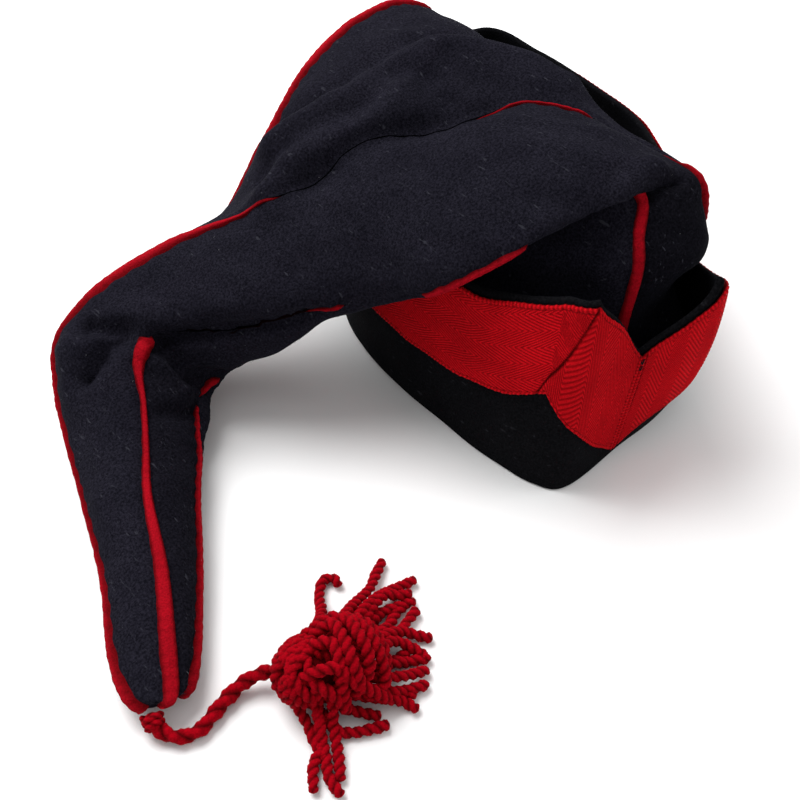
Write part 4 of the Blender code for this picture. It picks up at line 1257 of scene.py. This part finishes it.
yarn_corners = []
for piece, count in ((tassel, FUZZ_ON_TASSEL), (cord, FUZZ_ON_CORD)):
    corners = piece.data.vertices
    yarn_corners += [corners[index] for index in rng.integers(0, len(corners), count).tolist()]
roots = np.array([corner.co for corner in yarn_corners])
off = np.array([corner.normal for corner in yarn_corners])
yarn_lines = above_table(loose_fibres(roots, off, *YARN_FUZZ[:2], rng))
red_fuzz = plain_finish("red fuzz", (0.42, 0.004, 0.010))
slivers("yarn_fuzz", yarn_lines, YARN_FUZZ[2], red_fuzz, "red_wool_yarn")
print("loose fibres:", sum(map(len, fuzz_lines)) + len(roots), "and lint:", sum(map(len, lint_lines)))

# %% Sew the front seam and tie the knot
# Each dark stitch's two ends: station, share of the band's height
STITCHES = (
    ((-0.030, 0.955), (0.028, 0.940)),
    ((-0.026, 0.925), (0.034, 0.935)),
    ((-0.034, 0.900), (0.026, 0.885)),
    ((0.030, 0.870), (-0.024, 0.885)),
)
THREAD = 0.0007
THREAD_ARCH = 0.0005
THREAD_SUNK = 0.0003


def stitch_line(start, end):
    """A short arch of thread from one hole to the other, over the tape."""
    share = np.linspace(0, 1, 7)
    where = start[0] + (end[0] - start[0]) * share
    level = start[1] + (end[1] - start[1]) * share
    proud = GAP + TAPE_THICKNESS + THREAD_ARCH * np.sin(math.pi * share) - THREAD_SUNK
    return band_points(where, level, proud)


dark_thread = plain_finish("dark thread", (0.010, 0.008, 0.010))
stitches = np.array([stitch_line(*ends) for ends in STITCHES])
slivers("front_stitches", stitches, THREAD, dark_thread, "band_broadcloth")

KNOT_TURNS = 2.5
KNOT_LENGTH = 0.0050
KNOT_YARN = 0.0026
KNOT_PITCH = 0.005
KNOT_PLY_PITCH = 0.0016


def knot_line():
    """Yarn wound two and a half times round the cord's start, close under the crown's tip."""
    ahead, side, up = frames_along(cord_line)
    share = np.linspace(0, 1, 60)[:, None]
    angle = share * KNOT_TURNS * 2 * math.pi
    round_cord = side[4] * np.cos(angle) + up[4] * np.sin(angle)
    onwards = ahead[4] * (share * KNOT_LENGTH - 0.0002)
    return cord_line[2] + onwards + round_cord * (CORD_DIAMETER * 0.56 - 0.0006 * share)


rings, depth = plied(knot_line(), KNOT_YARN, KNOT_PITCH, KNOT_PLY_PITCH, 10)
stands_for(skin("knot", above_table(rings), False, red_yarn, depth=depth), "red_wool_yarn")
print("stitches and knot added")

# %% [markdown]
# ## Light and table
#
# The photograph was taken in soft even light on white. A pale sky lights the cap from all sides. For a
# gentle direction, one large soft lamp stands high behind the cap, on the left of the picture, and a
# weaker one stands on the right. The table is almost white, so that it burns out to white away from
# the cap and keeps a soft shadow beside it. The colours are shown by Blender's Standard view, which
# keeps red dye as saturated as the finish says.

# %% Light the cap
TABLE_REACH = 12.0


def add_table():
    mesh = bpy.data.meshes.new("table")
    corners = [(x * TABLE_REACH, y * TABLE_REACH, 0) for x, y in ((-1, -1), (1, -1), (1, 1), (-1, 1))]
    mesh.from_pydata(corners, [], [(0, 1, 2, 3)])
    table = bpy.data.objects.new("table", mesh)
    bpy.context.scene.collection.objects.link(table)
    finish, shader = start_finish("white table", 0.9, 0.0, (1, 1, 1))
    shader.inputs["Base Color"].default_value = (0.90, 0.90, 0.90, 1)
    mesh.materials.append(finish)


def add_lamp(name, place_of, aimed_at, size, power):
    lamp = bpy.data.objects.new(name, bpy.data.lights.new(name, "AREA"))
    bpy.context.scene.collection.objects.link(lamp)
    lamp.location = place_of
    lamp.rotation_euler = (Vector(aimed_at) - Vector(place_of)).to_track_quat("-Z", "Y").to_euler()
    lamp.data.size = size
    lamp.data.energy = power


def add_sky(strength):
    """A white sky that is a little dimmer near the horizon."""
    sky = bpy.data.worlds.new("sky")
    sky.use_nodes = True
    height = add_node(sky, "ShaderNodeSeparateXYZ")
    join(sky, add_node(sky, "ShaderNodeTexCoord").outputs["Generated"], height.inputs["Vector"])
    shade = between(sky, height.outputs["Z"], 0.0, 0.8, (0.5, 0.5, 0.5), (1, 1, 1))
    join(sky, shade, sky.node_tree.nodes["Background"].inputs["Color"])
    sky.node_tree.nodes["Background"].inputs["Strength"].default_value = strength
    bpy.context.scene.world = sky


add_table()
add_lamp("soft lamp", (-0.15, 0.85, 1.3), aimed_at=(0, 0, 0), size=1.1, power=31)
add_lamp("fill lamp", (1.0, -0.85, 0.75), aimed_at=(0.08, 0, 0.04), size=0.7, power=4.5)
add_sky(strength=0.64)
bpy.context.scene.view_settings.view_transform = "Standard"
print("lights:", [light.name for light in bpy.data.lights])
